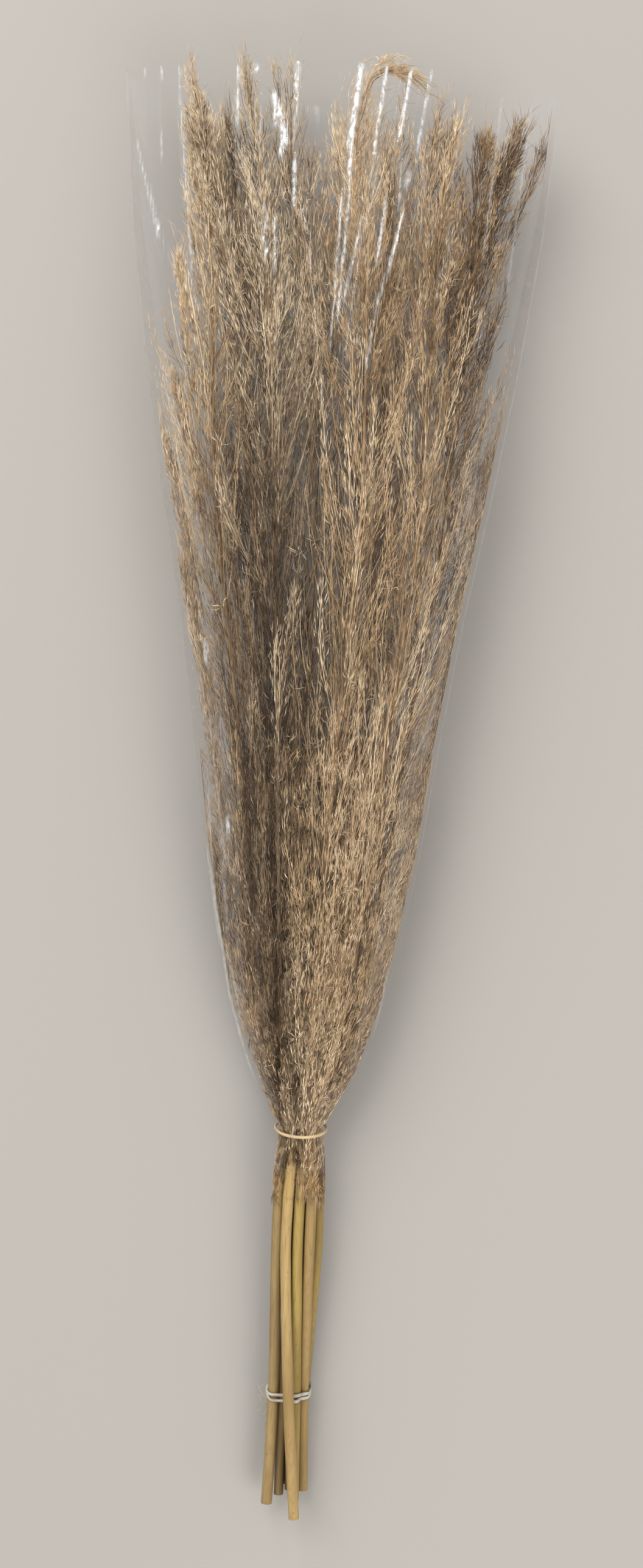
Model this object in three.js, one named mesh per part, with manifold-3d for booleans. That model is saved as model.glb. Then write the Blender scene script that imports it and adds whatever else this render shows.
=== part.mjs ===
// A bundle of eight dried pampas plumes on cut stalks, in a clear film sleeve, lying on its side.
// Millimetres, +Z up. Stalk ends point to -Y and plume tips to +Y. It lies on the plane z = 0.
import * as THREE from 'three';
import Module from 'manifold-3d';

const wasm = await Module();
wasm.setup();

const SEAT_GAP = 0.3; // left between pieces that touch
const PLUME_BASE_Y = -310; // a bare stalk ends here and its plume begins
const FILM_WALL = 0.8; // the sleeve's wall, thicker than real film
const RUBBER = 3.2; // strand thickness of both rubber bands
const NECK_BAND_Y = -259; // the band that gathers the sleeve
const STALK_BAND_Y = -456; // the band round the bare stalks

// Height of the bundle's middle line over the surface, as [y, z].
const MIDDLE = [
  [-550, 14.3], [-300, 29], [-259, 31.2], [-190, 35], [-143, 38], [-54, 47],
  [36, 52], [161, 57], [256, 58], [349, 57], [439, 55], [515, 53], [560, 53],
];

// Sleeve sections from the gathered end to the open mouth: half width, half depth, and how
// far the front dips towards the stalks where the band pulls it.
const SLEEVE = [
  { y: -300, wide: 22.4, deep: 18, dip: 3 },
  { y: -280, wide: 21, deep: 17, dip: 4 },
  { y: -266, wide: 18.6, deep: 15, dip: 5 },
  { y: -252, wide: 18.6, deep: 15, dip: 5 },
  { y: -240, wide: 27, deep: 20, dip: 3 },
  { y: -211, wide: 44, deep: 30, dip: 0 },
  { y: -166, wide: 58.5, deep: 38, dip: 0 },
  { y: -120, wide: 68, deep: 44, dip: 0 },
  { y: -54, wide: 80, deep: 51, dip: 0 },
  { y: 36, wide: 92, deep: 57, dip: 0 },
  { y: 120, wide: 105, deep: 61, dip: 0 },
  { y: 205, wide: 121, deep: 62, dip: 0 },
  { y: 300, wide: 137, deep: 60, dip: 0 },
  { y: 400, wide: 151, deep: 56, dip: 0 },
  { y: 514, wide: 161, deep: 48, dip: 0 },
];
const SLEEVE_SIDES = 28;
const CREASE = 0.5; // 0 gives an ellipse; more draws the sides out to the welded edges

// Each stem as it grew: a bare stalk from its cut end, then the plume's own stem to the tip.
// Points are [x, y, height over the middle line]. reach is how far the plume's branches spread.
const STEMS = [
  {
    radius: 3.9, reach: 31, color: 0xa58a68,
    stalk: [[-14.3, -542, 3], [-12.6, -457, 3.6], [-14.3, -358, 3.2], [-14.3, -310, 3.2]],
    plume: [[-14.3, -310, 3.2], [-11.2, -259, 2.5], [-26, -200, 3], [-37, -143, 3], [-58, 36, 4],
      [-81, 200, 2], [-90, 349, 0], [-98, 440, -1], [-112, 514, -4]],
  },
  {
    radius: 3.6, reach: 30, color: 0x8d7a62,
    stalk: [[-5.6, -536, -1.8], [-6, -457, -2.4], [-5, -358, -1.5], [-5, -310, -1.5]],
    plume: [[-5, -310, -1.5], [-3.9, -259, -1.2], [-16, -200, -10], [-25, -143, -17],
      [-38, 36, -24], [-54, 200, -27], [-66, 349, -24], [-76, 430, -19], [-87, 490, -13]],
  },
  {
    radius: 4.1, reach: 34, color: 0x9b866b,
    stalk: [[6.6, -549.8, 13.8], [-1.2, -457, 17.2], [-7.3, -358, 9.8], [-7.3, -310, 9]],
    plume: [[-7.3, -310, 9], [-5.7, -259, 7], [-14, -200, 14], [-20, -143, 20], [-29, 36, 26],
      [-38, 200, 29], [-48, 349, 26], [-58, 440, 17], [-72, 512, 9]],
  },
  {
    radius: 3.8, reach: 32, color: 0x8a765e,
    stalk: [[-4, -530, -11.6], [-5.2, -457, -10.2], [-1, -358, -10], [-1, -310, -10]],
    plume: [[-1, -310, -10], [-0.8, -259, -7.8], [-2, -200, -14], [-3, -143, -20], [-6, 36, -26],
      [-10, 200, -29], [-20, 349, -26], [-36, 440, -16], [-49, 512, -7]],
  },
  {
    radius: 3.9, reach: 38, color: 0xb89a72,
    stalk: [[5.8, -538, 4.4], [4, -457, 4.5], [1.3, -358, 6.5], [1.3, -310, 6.5]],
    plume: [[1.3, -310, 6.5], [1, -259, 5.1], [4, -200, 14], [7, -143, 21], [15, 36, 28],
      [25, 200, 31], [22, 349, 29], [11, 440, 24], [16, 502, 20], [36, 519, 16], [58, 508, 12]],
  },
  {
    radius: 3.7, reach: 30, color: 0x86735d,
    stalk: [[2.4, -533, -5.2], [1.4, -457, -5.5], [5.6, -358, -3], [5.6, -310, -3]],
    plume: [[5.6, -310, -3], [4.4, -259, -2.3], [13, -200, -10], [20, -143, -18], [30, 36, -25],
      [38, 200, -29], [40, 320, -26], [40, 400, -18], [33, 462, -8]],
  },
  {
    radius: 4, reach: 36, color: 0xb2946c,
    stalk: [[12, -532, -1.4], [10, -457, -1.5], [10, -358, 5], [10, -310, 5]],
    plume: [[10, -310, 5], [7.8, -259, 3.9], [21, -200, 9], [33, -143, 14], [52, 36, 20],
      [68, 200, 21], [72, 349, 20], [76, 425, 17], [84, 486, 12]],
  },
  {
    radius: 3.8, reach: 33, color: 0x80694f,
    stalk: [[9.4, -534, -11.4], [10.5, -457, -10.2], [15.5, -358, -2.5], [15.5, -310, -2.5]],
    plume: [[15.5, -310, -2.5], [12.1, -259, -2], [30, -200, -5], [43, -143, -8], [67, 36, -11],
      [88, 200, -15], [100, 349, -13], [107, 415, -9], [127, 464, -5]],
  },
];
const LOOP_STEPS = 24;
const LOOP_SIDES = 6;
const TURN_TILT = 2.2; // each turn of the stalk band leans this far, to opposite sides
const BAND_ROOM = 0.6; // between the stalk band and the stalks, which cross it at a slant
const OUTSIDE_BAND = 2; // the stalk, counted from 0, that has slipped out over the stalk band

const STALK_SIDES = 10;
const STALK_RINGS = 6;
const BAND_CURVE_STEPS = 100; // where the band crosses a stalk is found on this many steps
const STALK_COLORS = [0xa38b58, 0x8a7449, 0xb09a60, 0x7d6a44, 0xa59a55, 0x7a6843, 0xa98f5a, 0x9a8050];

const STALK_ROUGHNESS = 0.6;
const PLUME_ROUGHNESS = 0.95;
const FILM_COLOR = 0xe8ecec;
const FILM_ROUGHNESS = 0.08;
const FILM_OPACITY = 0.25;
const CREAM_RUBBER_COLOR = 0xd9c9a0;
const WHITE_RUBBER_COLOR = 0xd8d4c6;
const RUBBER_ROUGHNESS = 0.7;

const CORE_SIDES = 5;
const CORE_RINGS = 19;
const RINGS_TO_ENDS = 0.1; // draws the rings of a plume's stem towards both its ends
const CORE_NECK = 2.5; // radius of a plume's stem where the band squeezes it
const CORE_TIP = 0.8;
const CORE_SHARE = 0.93; // of the stalk's radius, where the plume begins
const CORE_SQUEEZE = 45; // the stem thins to its neck over this length
const NEEDLES = 66; // branches of one plume
const FIRST_ROOT = 8; // from the plume's base to its lowest branch
const LAST_ROOT = 22; // from its top branch to the tip
const CROWDED_BASE = 1.2; // above 1 sets the roots closer towards the base
const TAPER_RATE = 2.6; // branches shorten over the last 1 / 2.6 of the plume
const NEEDLE_RADIUS = 2.5; // a branch with its florets
const ROOT_DEPTH = 0.85; // how far past the stem's middle a branch is rooted, as a share of its radius
const BOW = 1.7; // higher leaves the stem more sharply
const NEEDLE_BEND = 0.42; // share of a branch's length where it turns along the stem
const NEEDLE_LONG = 165;
const NEEDLE_SHORT = 62;
const YOUNG_SHARE = 0.62; // the lowest branches are this much of the long ones
const YOUNG_RATE = 3; // and those above them gain 3 times their share of the plume's length
const TIP_REACH = 0.3; // share of the reach that is left at the plume's tip
const UNEVEN = 0.2; // how much branches differ in length and in reach
const DRAWN_IN = 0.86; // each step that draws a crowded branch closer to its stem
const LEAST_REACH = 2; // a branch drawn in closer than this is left out
const EDGE_WALLS = 4; // film walls left free beside the welded edges
const PAST_MOUTH = 2; // above the film's mouth by this much nothing is held in
const GOLDEN_TURN = 2.39996;
const REACH_DRAW = 50; // keeps the draws for a branch's reach apart from those for its length
const CLEARANCE = 0.25; // least room kept beside a branch
const SPOTS_TESTED = 6; // on each of a branch's two lengths

// Straight-line value of a table of [position, value] rows
function interpolate(rows, at) {
  const next = Math.max(1, rows.findIndex((row) => row[0] >= at));
  const i = at >= rows[rows.length - 1][0] ? rows.length - 1 : next;
  const [[x0, v0], [x1, v1]] = [rows[i - 1], rows[i]];
  return v0 + ((at - x0) / (x1 - x0)) * (v1 - v0);
}

const middleAt = (y) => interpolate(MIDDLE, y);
const sleeveAt = (y, key) => interpolate(SLEEVE.map((s) => [s.y, s[key]]), y);

// A repeatable number from 0 to 1 for each pair of whole numbers
function chance(a, b) {
  const s = Math.sin(a * 127.1 + b * 311.7) * 43758.5453;
  return s - Math.floor(s);
}

// A smooth curve through [x, y, height] points
function curveThrough(points) {
  const places = points.map(([x, y, h]) => new THREE.Vector3(x, y, middleAt(y) + h));
  return new THREE.CatmullRomCurve3(places, false, 'catmullrom', 0.5);
}

function geometryOf(vertices, faces) {
  const geometry = new THREE.BufferGeometry();
  geometry.setAttribute('position', new THREE.Float32BufferAttribute(vertices, 3));
  geometry.setIndex(faces);
  geometry.computeVertexNormals();
  return geometry;
}

// The two directions across a path that runs along t
function acrossAt(t) {
  const side = new THREE.Vector3().crossVectors(t, new THREE.Vector3(0, 0, 1)).normalize();
  return [side, new THREE.Vector3().crossVectors(side, t)];
}

// Triangles between rings of equal size; a ring of one vertex is a point
function skinRings(rings, faces) {
  const sides = Math.max(...rings.map((ring) => ring.length));
  for (let k = 0; k + 1 < rings.length; k++) {
    const [low, high] = [rings[k], rings[k + 1]];
    for (let a = 0; a < sides; a++) {
      const b = (a + 1) % sides;
      if (high.length === 1) faces.push(low[a], high[0], low[b]);
      else if (low.length === 1) faces.push(low[0], high[a], high[b]);
      else faces.push(low[a], high[a], low[b], low[b], high[a], high[b]);
    }
  }
}

// A closed round bar along places, with a radius at each; a radius of 0 ends it in a point
function bar(places, tangents, radii, sides) {
  const vertices = [];
  const rings = places.map((place, k) => {
    if (radii[k] === 0) return [vertices.push(...place.toArray()) / 3 - 1];
    const [side, up] = acrossAt(tangents[k]);
    return Array.from({ length: sides }, (_, a) => {
      const angle = ((a + 0.5) / sides) * 2 * Math.PI;
      const spot = place.clone().addScaledVector(side, radii[k] * Math.cos(angle));
      spot.addScaledVector(up, radii[k] * Math.sin(angle));
      return vertices.push(...spot.toArray()) / 3 - 1;
    });
  });
  const faces = [];
  skinRings(rings, faces);
  const [first, last] = [rings[0], rings[rings.length - 1]];
  for (let a = 1; a + 1 < sides; a++) {
    if (first.length > 1) faces.push(first[0], first[a], first[a + 1]);
    if (last.length > 1) faces.push(last[0], last[a + 1], last[a]);
  }
  return geometryOf(vertices, faces);
}

// A closed loop of round section through places, turned about the middle of the loop
function loopOf(places, radius, sides) {
  const vertices = [];
  const count = places.length;
  const along = new THREE.Vector3(0, 1, 0);
  const rings = places.map((place, k) => {
    const t = places[(k + 1) % count].clone().sub(places[(k + count - 1) % count]).normalize();
    const out = new THREE.Vector3().crossVectors(along, t).normalize();
    const up = new THREE.Vector3().crossVectors(out, t);
    return Array.from({ length: sides }, (_, a) => {
      const angle = (a / sides) * 2 * Math.PI;
      const spot = place.clone().addScaledVector(out, radius * Math.cos(angle));
      spot.addScaledVector(up, radius * Math.sin(angle));
      return vertices.push(...spot.toArray()) / 3 - 1;
    });
  });
  const faces = [];
  skinRings([...rings, rings[0]], faces);
  return geometryOf(vertices, faces);
}

function solidOf(geometry) {
  const vertProperties = new Float32Array(geometry.getAttribute('position').array);
  const triVerts = new Uint32Array(geometry.getIndex().array);
  return new wasm.Manifold(new wasm.Mesh({ numProp: 3, vertProperties, triVerts }));
}

// One body from many. A pocket sealed between them is a surface of its own, and only the
// surface that holds the most is kept, so the pocket is filled.
function joined(geometries) {
  const whole = geometries.map(solidOf).reduce((sum, next) => sum.add(next));
  const surfaces = whole.decompose();
  const body = surfaces.reduce((most, next) => (next.volume() > most.volume() ? next : most));
  const { vertProperties, triVerts } = body.getMesh();
  return geometryOf(vertProperties, Array.from(triVerts));
}

function piece(name, geometry, color, roughness, extra = {}) {
  const material = new THREE.MeshStandardMaterial({ color, roughness, metalness: 0, ...extra });
  const mesh = new THREE.Mesh(geometry, material);
  mesh.name = name;
  return mesh;
}

// Stalks

const stalkCurves = STEMS.map((stem) => curveThrough(stem.stalk));

function stalkGeometry(stem, curve) {
  const places = curve.getPoints(STALK_RINGS - 1);
  const tangents = places.map((_, k) => curve.getTangent(k / (STALK_RINGS - 1)));
  places[places.length - 1].y = PLUME_BASE_Y - SEAT_GAP;
  tangents[tangents.length - 1].set(0, 1, 0);
  return bar(places, tangents, places.map(() => stem.radius), STALK_SIDES);
}

// Plumes

const RACHIS_STEPS = 60;
const rachises = STEMS.map((stem) => {
  const curve = curveThrough(stem.plume);
  return { line: curve.getSpacedPoints(RACHIS_STEPS), length: curve.getLength() };
});

// The place and direction a given distance along a plume's stem, and straight on past its tip
function alongRachis({ line, length }, distance) {
  const at = (distance / length) * RACHIS_STEPS;
  const i = Math.min(RACHIS_STEPS - 1, Math.max(0, Math.floor(at)));
  const t = line[i + 1].clone().sub(line[i]);
  return { place: line[i].clone().addScaledVector(t, at - i), t: t.normalize() };
}

const probe = new THREE.Line3();
const nearest = new THREE.Vector3();
function distanceTo(line, spot) {
  let best = Infinity;
  for (let i = 1; i < line.length; i++) {
    probe.set(line[i - 1], line[i]).closestPointToPoint(spot, true, nearest);
    best = Math.min(best, nearest.distanceToSquared(spot));
  }
  return Math.sqrt(best);
}

// True where a spot of the given size lies inside the sleeve's wall, or past its mouth
function insideSleeve(spot, size) {
  const mouth = SLEEVE[SLEEVE.length - 1].y;
  if (spot.y > mouth + size + PAST_MOUTH) return true;
  const rise = spot.z - middleAt(Math.min(spot.y, mouth));
  const y = Math.min(mouth, spot.y + sleeveAt(spot.y, 'dip') * Math.sign(rise));
  const deep = sleeveAt(y, 'deep') - FILM_WALL - size;
  const wide = sleeveAt(y, 'wide') - EDGE_WALLS * FILM_WALL - size;
  const share = 1 - (spot.x / wide) ** 2;
  if (share <= 0 || spot.z < FILM_WALL + size) return false;
  return Math.abs(rise) <= deep * share ** (0.5 + creaseAt(y) / 2) - FILM_WALL;
}

// True where a spot of the given size is nearer its own stem than any other plume's
function inOwnRoom(index, spot, size) {
  const own = distanceTo(rachises[index].line, spot);
  return rachises.every(({ line }, j) => j === index || distanceTo(line, spot) - own >= 2 * size);
}

// Radius of a plume's own stem: squeezed by the band, then thinning towards the tip
function coreRadius(index, distance) {
  const stem = STEMS[index].radius * CORE_SHARE;
  const squeezed = THREE.MathUtils.lerp(stem, CORE_NECK, Math.min(1, distance / CORE_SQUEEZE));
  return THREE.MathUtils.lerp(squeezed, CORE_TIP, distance / rachises[index].length);
}

// One branch: rooted in the far side of the stem, it bows outwards, then follows the stem
function branchPlaces(index, start, turn, long, out) {
  const sunk = ROOT_DEPTH * coreRadius(index, start);
  return [0, NEEDLE_BEND, 1].map((share) => {
    const { place, t } = alongRachis(rachises[index], start + share * long);
    const [side, up] = acrossAt(t);
    const bow = out * (1 - (1 - share) ** BOW) - (share === 0 ? sunk : 0);
    place.addScaledVector(side, bow * Math.cos(turn));
    return place.addScaledVector(up, bow * Math.sin(turn));
  });
}

function branchFits(index, [root, bend, tip]) {
  const size = NEEDLE_RADIUS + CLEARANCE;
  const parts = Array.from({ length: SPOTS_TESTED }, (_, k) => (k + 1) / SPOTS_TESTED);
  const spots = [...parts.map((s) => root.clone().lerp(bend, s)),
    ...parts.map((s) => bend.clone().lerp(tip, s))];
  return spots.every((spot) => inOwnRoom(index, spot, size) && insideSleeve(spot, size));
}

// Branch number k of a plume, drawn in towards the stem until it clears its neighbours
function branchOf(index, k) {
  const rachis = rachises[index];
  const share = (k + 0.5) / NEEDLES;
  const start = FIRST_ROOT + share ** CROWDED_BASE * (rachis.length - FIRST_ROOT - LAST_ROOT);
  const taper = Math.min(1, (1 - share) * TAPER_RATE);
  const young = Math.min(1, YOUNG_SHARE + YOUNG_RATE * share);
  const even = THREE.MathUtils.lerp(NEEDLE_SHORT, NEEDLE_LONG, taper * young);
  const long = even * (1 + UNEVEN * (chance(index, k) - 0.5));
  const spread = THREE.MathUtils.lerp(TIP_REACH, 1, taper);
  const full = STEMS[index].reach * spread * (1 + UNEVEN * (chance(k, index + REACH_DRAW) - 1));
  const turn = k * GOLDEN_TURN + index;
  for (let out = full; out > LEAST_REACH; out *= DRAWN_IN) {
    const places = branchPlaces(index, start, turn, long, out);
    if (branchFits(index, places)) return places;
  }
  return null;
}

function needle(places) {
  const tangents = places.map((place, k) => {
    const [from, to] = [places[Math.max(0, k - 1)], places[Math.min(2, k + 1)]];
    return to.clone().sub(from).normalize();
  });
  return bar(places, tangents, [0, NEEDLE_RADIUS, 0], 3);
}

function coreGeometry(index) {
  const rachis = rachises[index];
  const radii = [];
  const tangents = [];
  const places = Array.from({ length: CORE_RINGS }, (_, k) => {
    const even = k / (CORE_RINGS - 1);
    const distance = (even - RINGS_TO_ENDS * Math.sin(2 * Math.PI * even)) * rachis.length;
    const { place, t } = alongRachis(rachis, distance);
    radii.push(coreRadius(index, distance));
    tangents.push(t);
    return place;
  });
  tangents[0].set(0, 1, 0);
  return bar(places, tangents, radii, CORE_SIDES);
}

function plumeGeometry(index) {
  const branches = Array.from({ length: NEEDLES }, (_, k) => branchOf(index, k)).filter(Boolean);
  return joined([coreGeometry(index), ...branches.map(needle)]);
}

// Sleeve: a lens-shaped tube of film, pressed flat where it lies

function creaseAt(y) {
  return CREASE * THREE.MathUtils.smoothstep(y, NECK_BAND_Y + 10, 0);
}

function sleeveRing(section, inset, vertices) {
  const crease = creaseAt(section.y);
  const wide = section.wide - 2 * inset;
  const deep = section.deep - inset;
  return Array.from({ length: SLEEVE_SIDES }, (_, a) => {
    const angle = (a / SLEEVE_SIDES) * 2 * Math.PI;
    const lift = Math.sin(angle) * Math.abs(Math.sin(angle)) ** crease;
    const z = Math.max(inset, middleAt(section.y) + deep * lift);
    return vertices.push(wide * Math.cos(angle), section.y - section.dip * Math.sin(angle), z) / 3 - 1;
  });
}

function sleeveGeometry() {
  const vertices = [];
  const outer = SLEEVE.map((section) => sleeveRing(section, 0, vertices));
  const inner = SLEEVE.map((section) => sleeveRing(section, FILM_WALL, vertices));
  const faces = [];
  skinRings([...outer, ...inner.reverse(), outer[0]], faces);
  return geometryOf(vertices, faces);
}

// Rubber bands

function neckBandGeometry() {
  const room = SEAT_GAP + RUBBER / 2;
  const [wide, deep, dip] = ['wide', 'deep', 'dip'].map((key) => sleeveAt(NECK_BAND_Y, key));
  const places = Array.from({ length: LOOP_STEPS }, (_, a) => {
    const angle = (a / LOOP_STEPS) * 2 * Math.PI;
    const [x, z] = [Math.cos(angle), Math.sin(angle)];
    const height = middleAt(NECK_BAND_Y) + (deep + room) * z;
    return new THREE.Vector3((wide + room) * x, NECK_BAND_Y - dip * z, height);
  });
  return loopOf(places, RUBBER / 2, LOOP_SIDES);
}

// One turn of the stalk band: it lies on whichever stalk stands out furthest at each angle
function stalkBandTurn(tilt) {
  const held = STEMS.map((stem, i) => ({ stem, curve: stalkCurves[i] }));
  held.splice(OUTSIDE_BAND, 1);
  const stations = held.map(({ stem, curve }) => {
    const points = curve.getPoints(BAND_CURVE_STEPS);
    const place = points.find((p) => p.y >= STALK_BAND_Y);
    return { place, off: stem.radius + BAND_ROOM + RUBBER / 2 };
  });
  const places = Array.from({ length: LOOP_STEPS }, (_, a) => {
    const angle = (a / LOOP_STEPS) * 2 * Math.PI;
    const [x, z] = [Math.cos(angle), Math.sin(angle)];
    const reach = ({ place, off }) => place.x * x + place.z * z + off;
    const { place, off } = stations.reduce((far, next) => (reach(next) > reach(far) ? next : far));
    return new THREE.Vector3(place.x + off * x, STALK_BAND_Y + tilt * z, place.z + off * z);
  });
  return loopOf(places, RUBBER / 2, LOOP_SIDES);
}

const bundle = new THREE.Group();
bundle.name = 'pampas_bundle';

STEMS.forEach((stem, i) => {
  const stalk = stalkGeometry(stem, stalkCurves[i]);
  bundle.add(piece(`stalk_${i + 1}`, stalk, STALK_COLORS[i], STALK_ROUGHNESS));
  bundle.add(piece(`plume_${i + 1}`, plumeGeometry(i), stem.color, PLUME_ROUGHNESS));
});
const film = { transparent: true, opacity: FILM_OPACITY };
bundle.add(piece('film_sleeve', sleeveGeometry(), FILM_COLOR, FILM_ROUGHNESS, film));
bundle.add(piece('neck_band', neckBandGeometry(), CREAM_RUBBER_COLOR, RUBBER_ROUGHNESS));
const turns = [TURN_TILT, -TURN_TILT].map(stalkBandTurn);
bundle.add(piece('stalk_band', joined(turns), WHITE_RUBBER_COLOR, RUBBER_ROUGHNESS));

export default bundle;
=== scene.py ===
# %% [markdown]
# # A bundle of dried pampas grass in its clear sleeve
# Eight stems of pampas grass lie side by side. A clear film cone holds their plumes, a rubber band gathers
# the film at the neck, and a second band holds the bare stalks. Every piece is made here in millimetres and
# written to its mesh in metres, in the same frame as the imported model, so nothing has to be fitted.

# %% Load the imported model
import bpy
import numpy as np
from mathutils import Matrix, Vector


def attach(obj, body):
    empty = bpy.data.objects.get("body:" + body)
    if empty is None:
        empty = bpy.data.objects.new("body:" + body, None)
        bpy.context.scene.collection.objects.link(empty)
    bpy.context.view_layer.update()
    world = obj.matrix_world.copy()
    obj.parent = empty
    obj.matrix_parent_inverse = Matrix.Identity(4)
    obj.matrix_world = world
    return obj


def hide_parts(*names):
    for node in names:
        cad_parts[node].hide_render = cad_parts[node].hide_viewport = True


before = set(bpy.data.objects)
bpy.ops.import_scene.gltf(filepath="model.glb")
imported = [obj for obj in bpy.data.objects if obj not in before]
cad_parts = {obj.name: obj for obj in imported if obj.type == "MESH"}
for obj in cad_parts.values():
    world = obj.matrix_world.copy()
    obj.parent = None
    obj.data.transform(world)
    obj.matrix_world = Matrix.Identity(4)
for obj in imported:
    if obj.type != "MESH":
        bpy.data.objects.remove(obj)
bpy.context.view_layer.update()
scene = bpy.context.scene

# %% [markdown]
# ## Where everything runs
# The bundle lies along Y, its plume tips at +Y. MIDDLE is the height of its middle line over the floor, and
# SLEEVE the film's half width, its half depth and how far the band pulls its upper side back. Both are read
# between their rows, so one short table can shape every piece.

# %% Measured lines of the bundle, in millimetres
MIDDLE = np.array([
    [-550, 14.3], [-300, 29], [-259, 31.2], [-190, 35], [-143, 38], [-54, 47], [36, 52],
    [161, 57], [256, 58], [349, 57], [439, 55], [515, 53], [560, 53],
])
SLEEVE = np.array([
    [-300, 22.4, 18, 3], [-280, 21, 17, 4], [-266, 18.6, 15, 5], [-252, 18.6, 15, 5], [-240, 27, 20, 3],
    [-211, 44, 30, 0], [-166, 58.5, 38, 0], [-120, 68, 44, 0], [-54, 80, 51, 0], [36, 92, 57, 0],
    [120, 105, 61, 0], [205, 121, 62, 0], [300, 137, 60, 0], [400, 151, 56, 0], [514, 161, 48, 0],
])
WIDE, DEEP, DIP = 1, 2, 3
FILM_FOOT, MOUTH = SLEEVE[0, 0], SLEEVE[-1, 0]
NECK_BAND_Y = -259
STALK_BAND_Y = -456
# Each stem: its radius, how far its branches reach, then its stalk and its plume as x, y and the height
# over the middle line
STEMS = [
    (3.9, 31, [[-14.3, -542, 3], [-12.6, -457, 3.6], [-14.3, -358, 3.2], [-14.3, -310, 3.2]],
     [[-14.3, -310, 3.2], [-11.2, -259, 2.5], [-26, -200, 3], [-37, -143, 3], [-58, 36, 4],
      [-81, 200, 2], [-90, 349, 0], [-98, 440, -1], [-112, 514, -4]]),
    (3.6, 30, [[-5.6, -536, -1.8], [-6, -457, -2.4], [-5, -358, -1.5], [-5, -310, -1.5]],
     [[-5, -310, -1.5], [-3.9, -259, -1.2], [-16, -200, -10], [-25, -143, -17],
      [-38, 36, -24], [-54, 200, -27], [-66, 349, -24], [-76, 430, -19], [-87, 490, -13]]),
    (4.1, 34, [[6.6, -549.8, 13.8], [-1.2, -457, 17.2], [-7.3, -358, 9.8], [-7.3, -310, 9]],
     [[-7.3, -310, 9], [-5.7, -259, 7], [-14, -200, 14], [-20, -143, 20], [-29, 36, 26],
      [-38, 200, 29], [-48, 349, 26], [-58, 440, 17], [-72, 512, 9]]),
    (3.8, 32, [[-4, -530, -11.6], [-5.2, -457, -10.2], [-1, -358, -10], [-1, -310, -10]],
     [[-1, -310, -10], [-0.8, -259, -7.8], [-2, -200, -14], [-3, -143, -20], [-6, 36, -26],
      [-10, 200, -29], [-20, 349, -26], [-36, 440, -16], [-49, 512, -7]]),
    (3.9, 38, [[5.8, -538, 4.4], [4, -457, 4.5], [1.3, -358, 6.5], [1.3, -310, 6.5]],
     [[1.3, -310, 6.5], [1, -259, 5.1], [4, -200, 14], [7, -143, 21], [15, 36, 28],
      [25, 200, 31], [22, 349, 29], [11, 440, 24], [16, 502, 20], [36, 519, 16], [58, 508, 12]]),
    (3.7, 30, [[2.4, -533, -5.2], [1.4, -457, -5.5], [5.6, -358, -3], [5.6, -310, -3]],
     [[5.6, -310, -3], [4.4, -259, -2.3], [13, -200, -10], [20, -143, -18], [30, 36, -25],
      [38, 200, -29], [40, 320, -26], [40, 400, -18], [33, 462, -8]]),
    (4, 36, [[12, -532, -1.4], [10, -457, -1.5], [10, -358, 5], [10, -310, 5]],
     [[10, -310, 5], [7.8, -259, 3.9], [21, -200, 9], [33, -143, 14], [52, 36, 20],
      [68, 200, 21], [72, 349, 20], [76, 425, 17], [84, 486, 12]]),
    (3.8, 33, [[9.4, -534, -11.4], [10.5, -457, -10.2], [15.5, -358, -2.5], [15.5, -310, -2.5]],
     [[15.5, -310, -2.5], [12.1, -259, -2], [30, -200, -5], [43, -143, -8], [67, 36, -11],
      [88, 200, -15], [100, 349, -13], [107, 415, -9], [127, 464, -5]]),
]
print("stems:", len(STEMS), "sleeve rows:", len(SLEEVE))

# %% [markdown]
# ## Small tools for whole arrays
# A shape here is an array of places. These helpers read the tables, give every run two directions across it,
# and lay evenly spaced places on a smooth curve. None of them walks over single vertices.


# %% Tables, directions and smooth lines
def middle_at(y):
    """Height of the middle line at y, straight between the rows of MIDDLE."""
    return np.interp(y, MIDDLE[:, 0], MIDDLE[:, 1])


def sleeve_at(y, column):
    """One column of SLEEVE at y, straight between its rows."""
    return np.interp(y, SLEEVE[:, 0], SLEEVE[:, column])


def smoothstep(value, low, high):
    """0 below low, 1 above high, and 3 s squared minus 2 s cubed between, where s is the share of the way."""
    s = np.clip((value - low) / (high - low), 0, 1)
    return s * s * (3 - 2 * s)


def ridges(table, x, y, fade, clipped=False):
    """Sum over a table's rows of height e^-((x - line)/width)^2, where line runs from one end of the row to the
    other. fade gives the shares of its length where it comes in and goes out."""
    x0, y0, x1, y1, height, width = (column.reshape(-1, *[1] * x.ndim) for column in table.T)
    share = (y - y0) / (y1 - y0)
    ends = smoothstep(share, *fade[:2]) * (1 - smoothstep(share, *fade[2:]))
    line = x0 + (x1 - x0) * (np.clip(share, 0, 1) if clipped else share)
    return (height * ends * np.exp(-(((x - line) / width) ** 2))).sum(0)


def crease_at(y):
    """How sharply the two sheets meet at the sides: 0, or round, at the neck, and 0.5 from y 0 on."""
    return 0.5 * smoothstep(y, -249, 0)


def chance(a, b):
    """A share from 0 to 1 that is the same every run: the fraction of 43758.5453 sin(127.1 a + 311.7 b)."""
    s = np.sin(np.asarray(a) * 127.1 + np.asarray(b) * 311.7) * 43758.5453
    return s - np.floor(s)


def unit(v):
    """Each vector divided by its length."""
    return v / np.maximum(np.linalg.norm(v, axis=-1, keepdims=True), 1e-9)


def across(t):
    """Two directions across a run along t: side is t cross Z, and up is side cross t."""
    side = unit(np.cross(t, (0.0, 0.0, 1.0)))
    return side, np.cross(side, t)


def turned(angle, first, second):
    """The direction at an angle from first towards second: cos of it times first + sin of it times second."""
    return np.cos(angle)[..., None] * first + np.sin(angle)[..., None] * second


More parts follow.
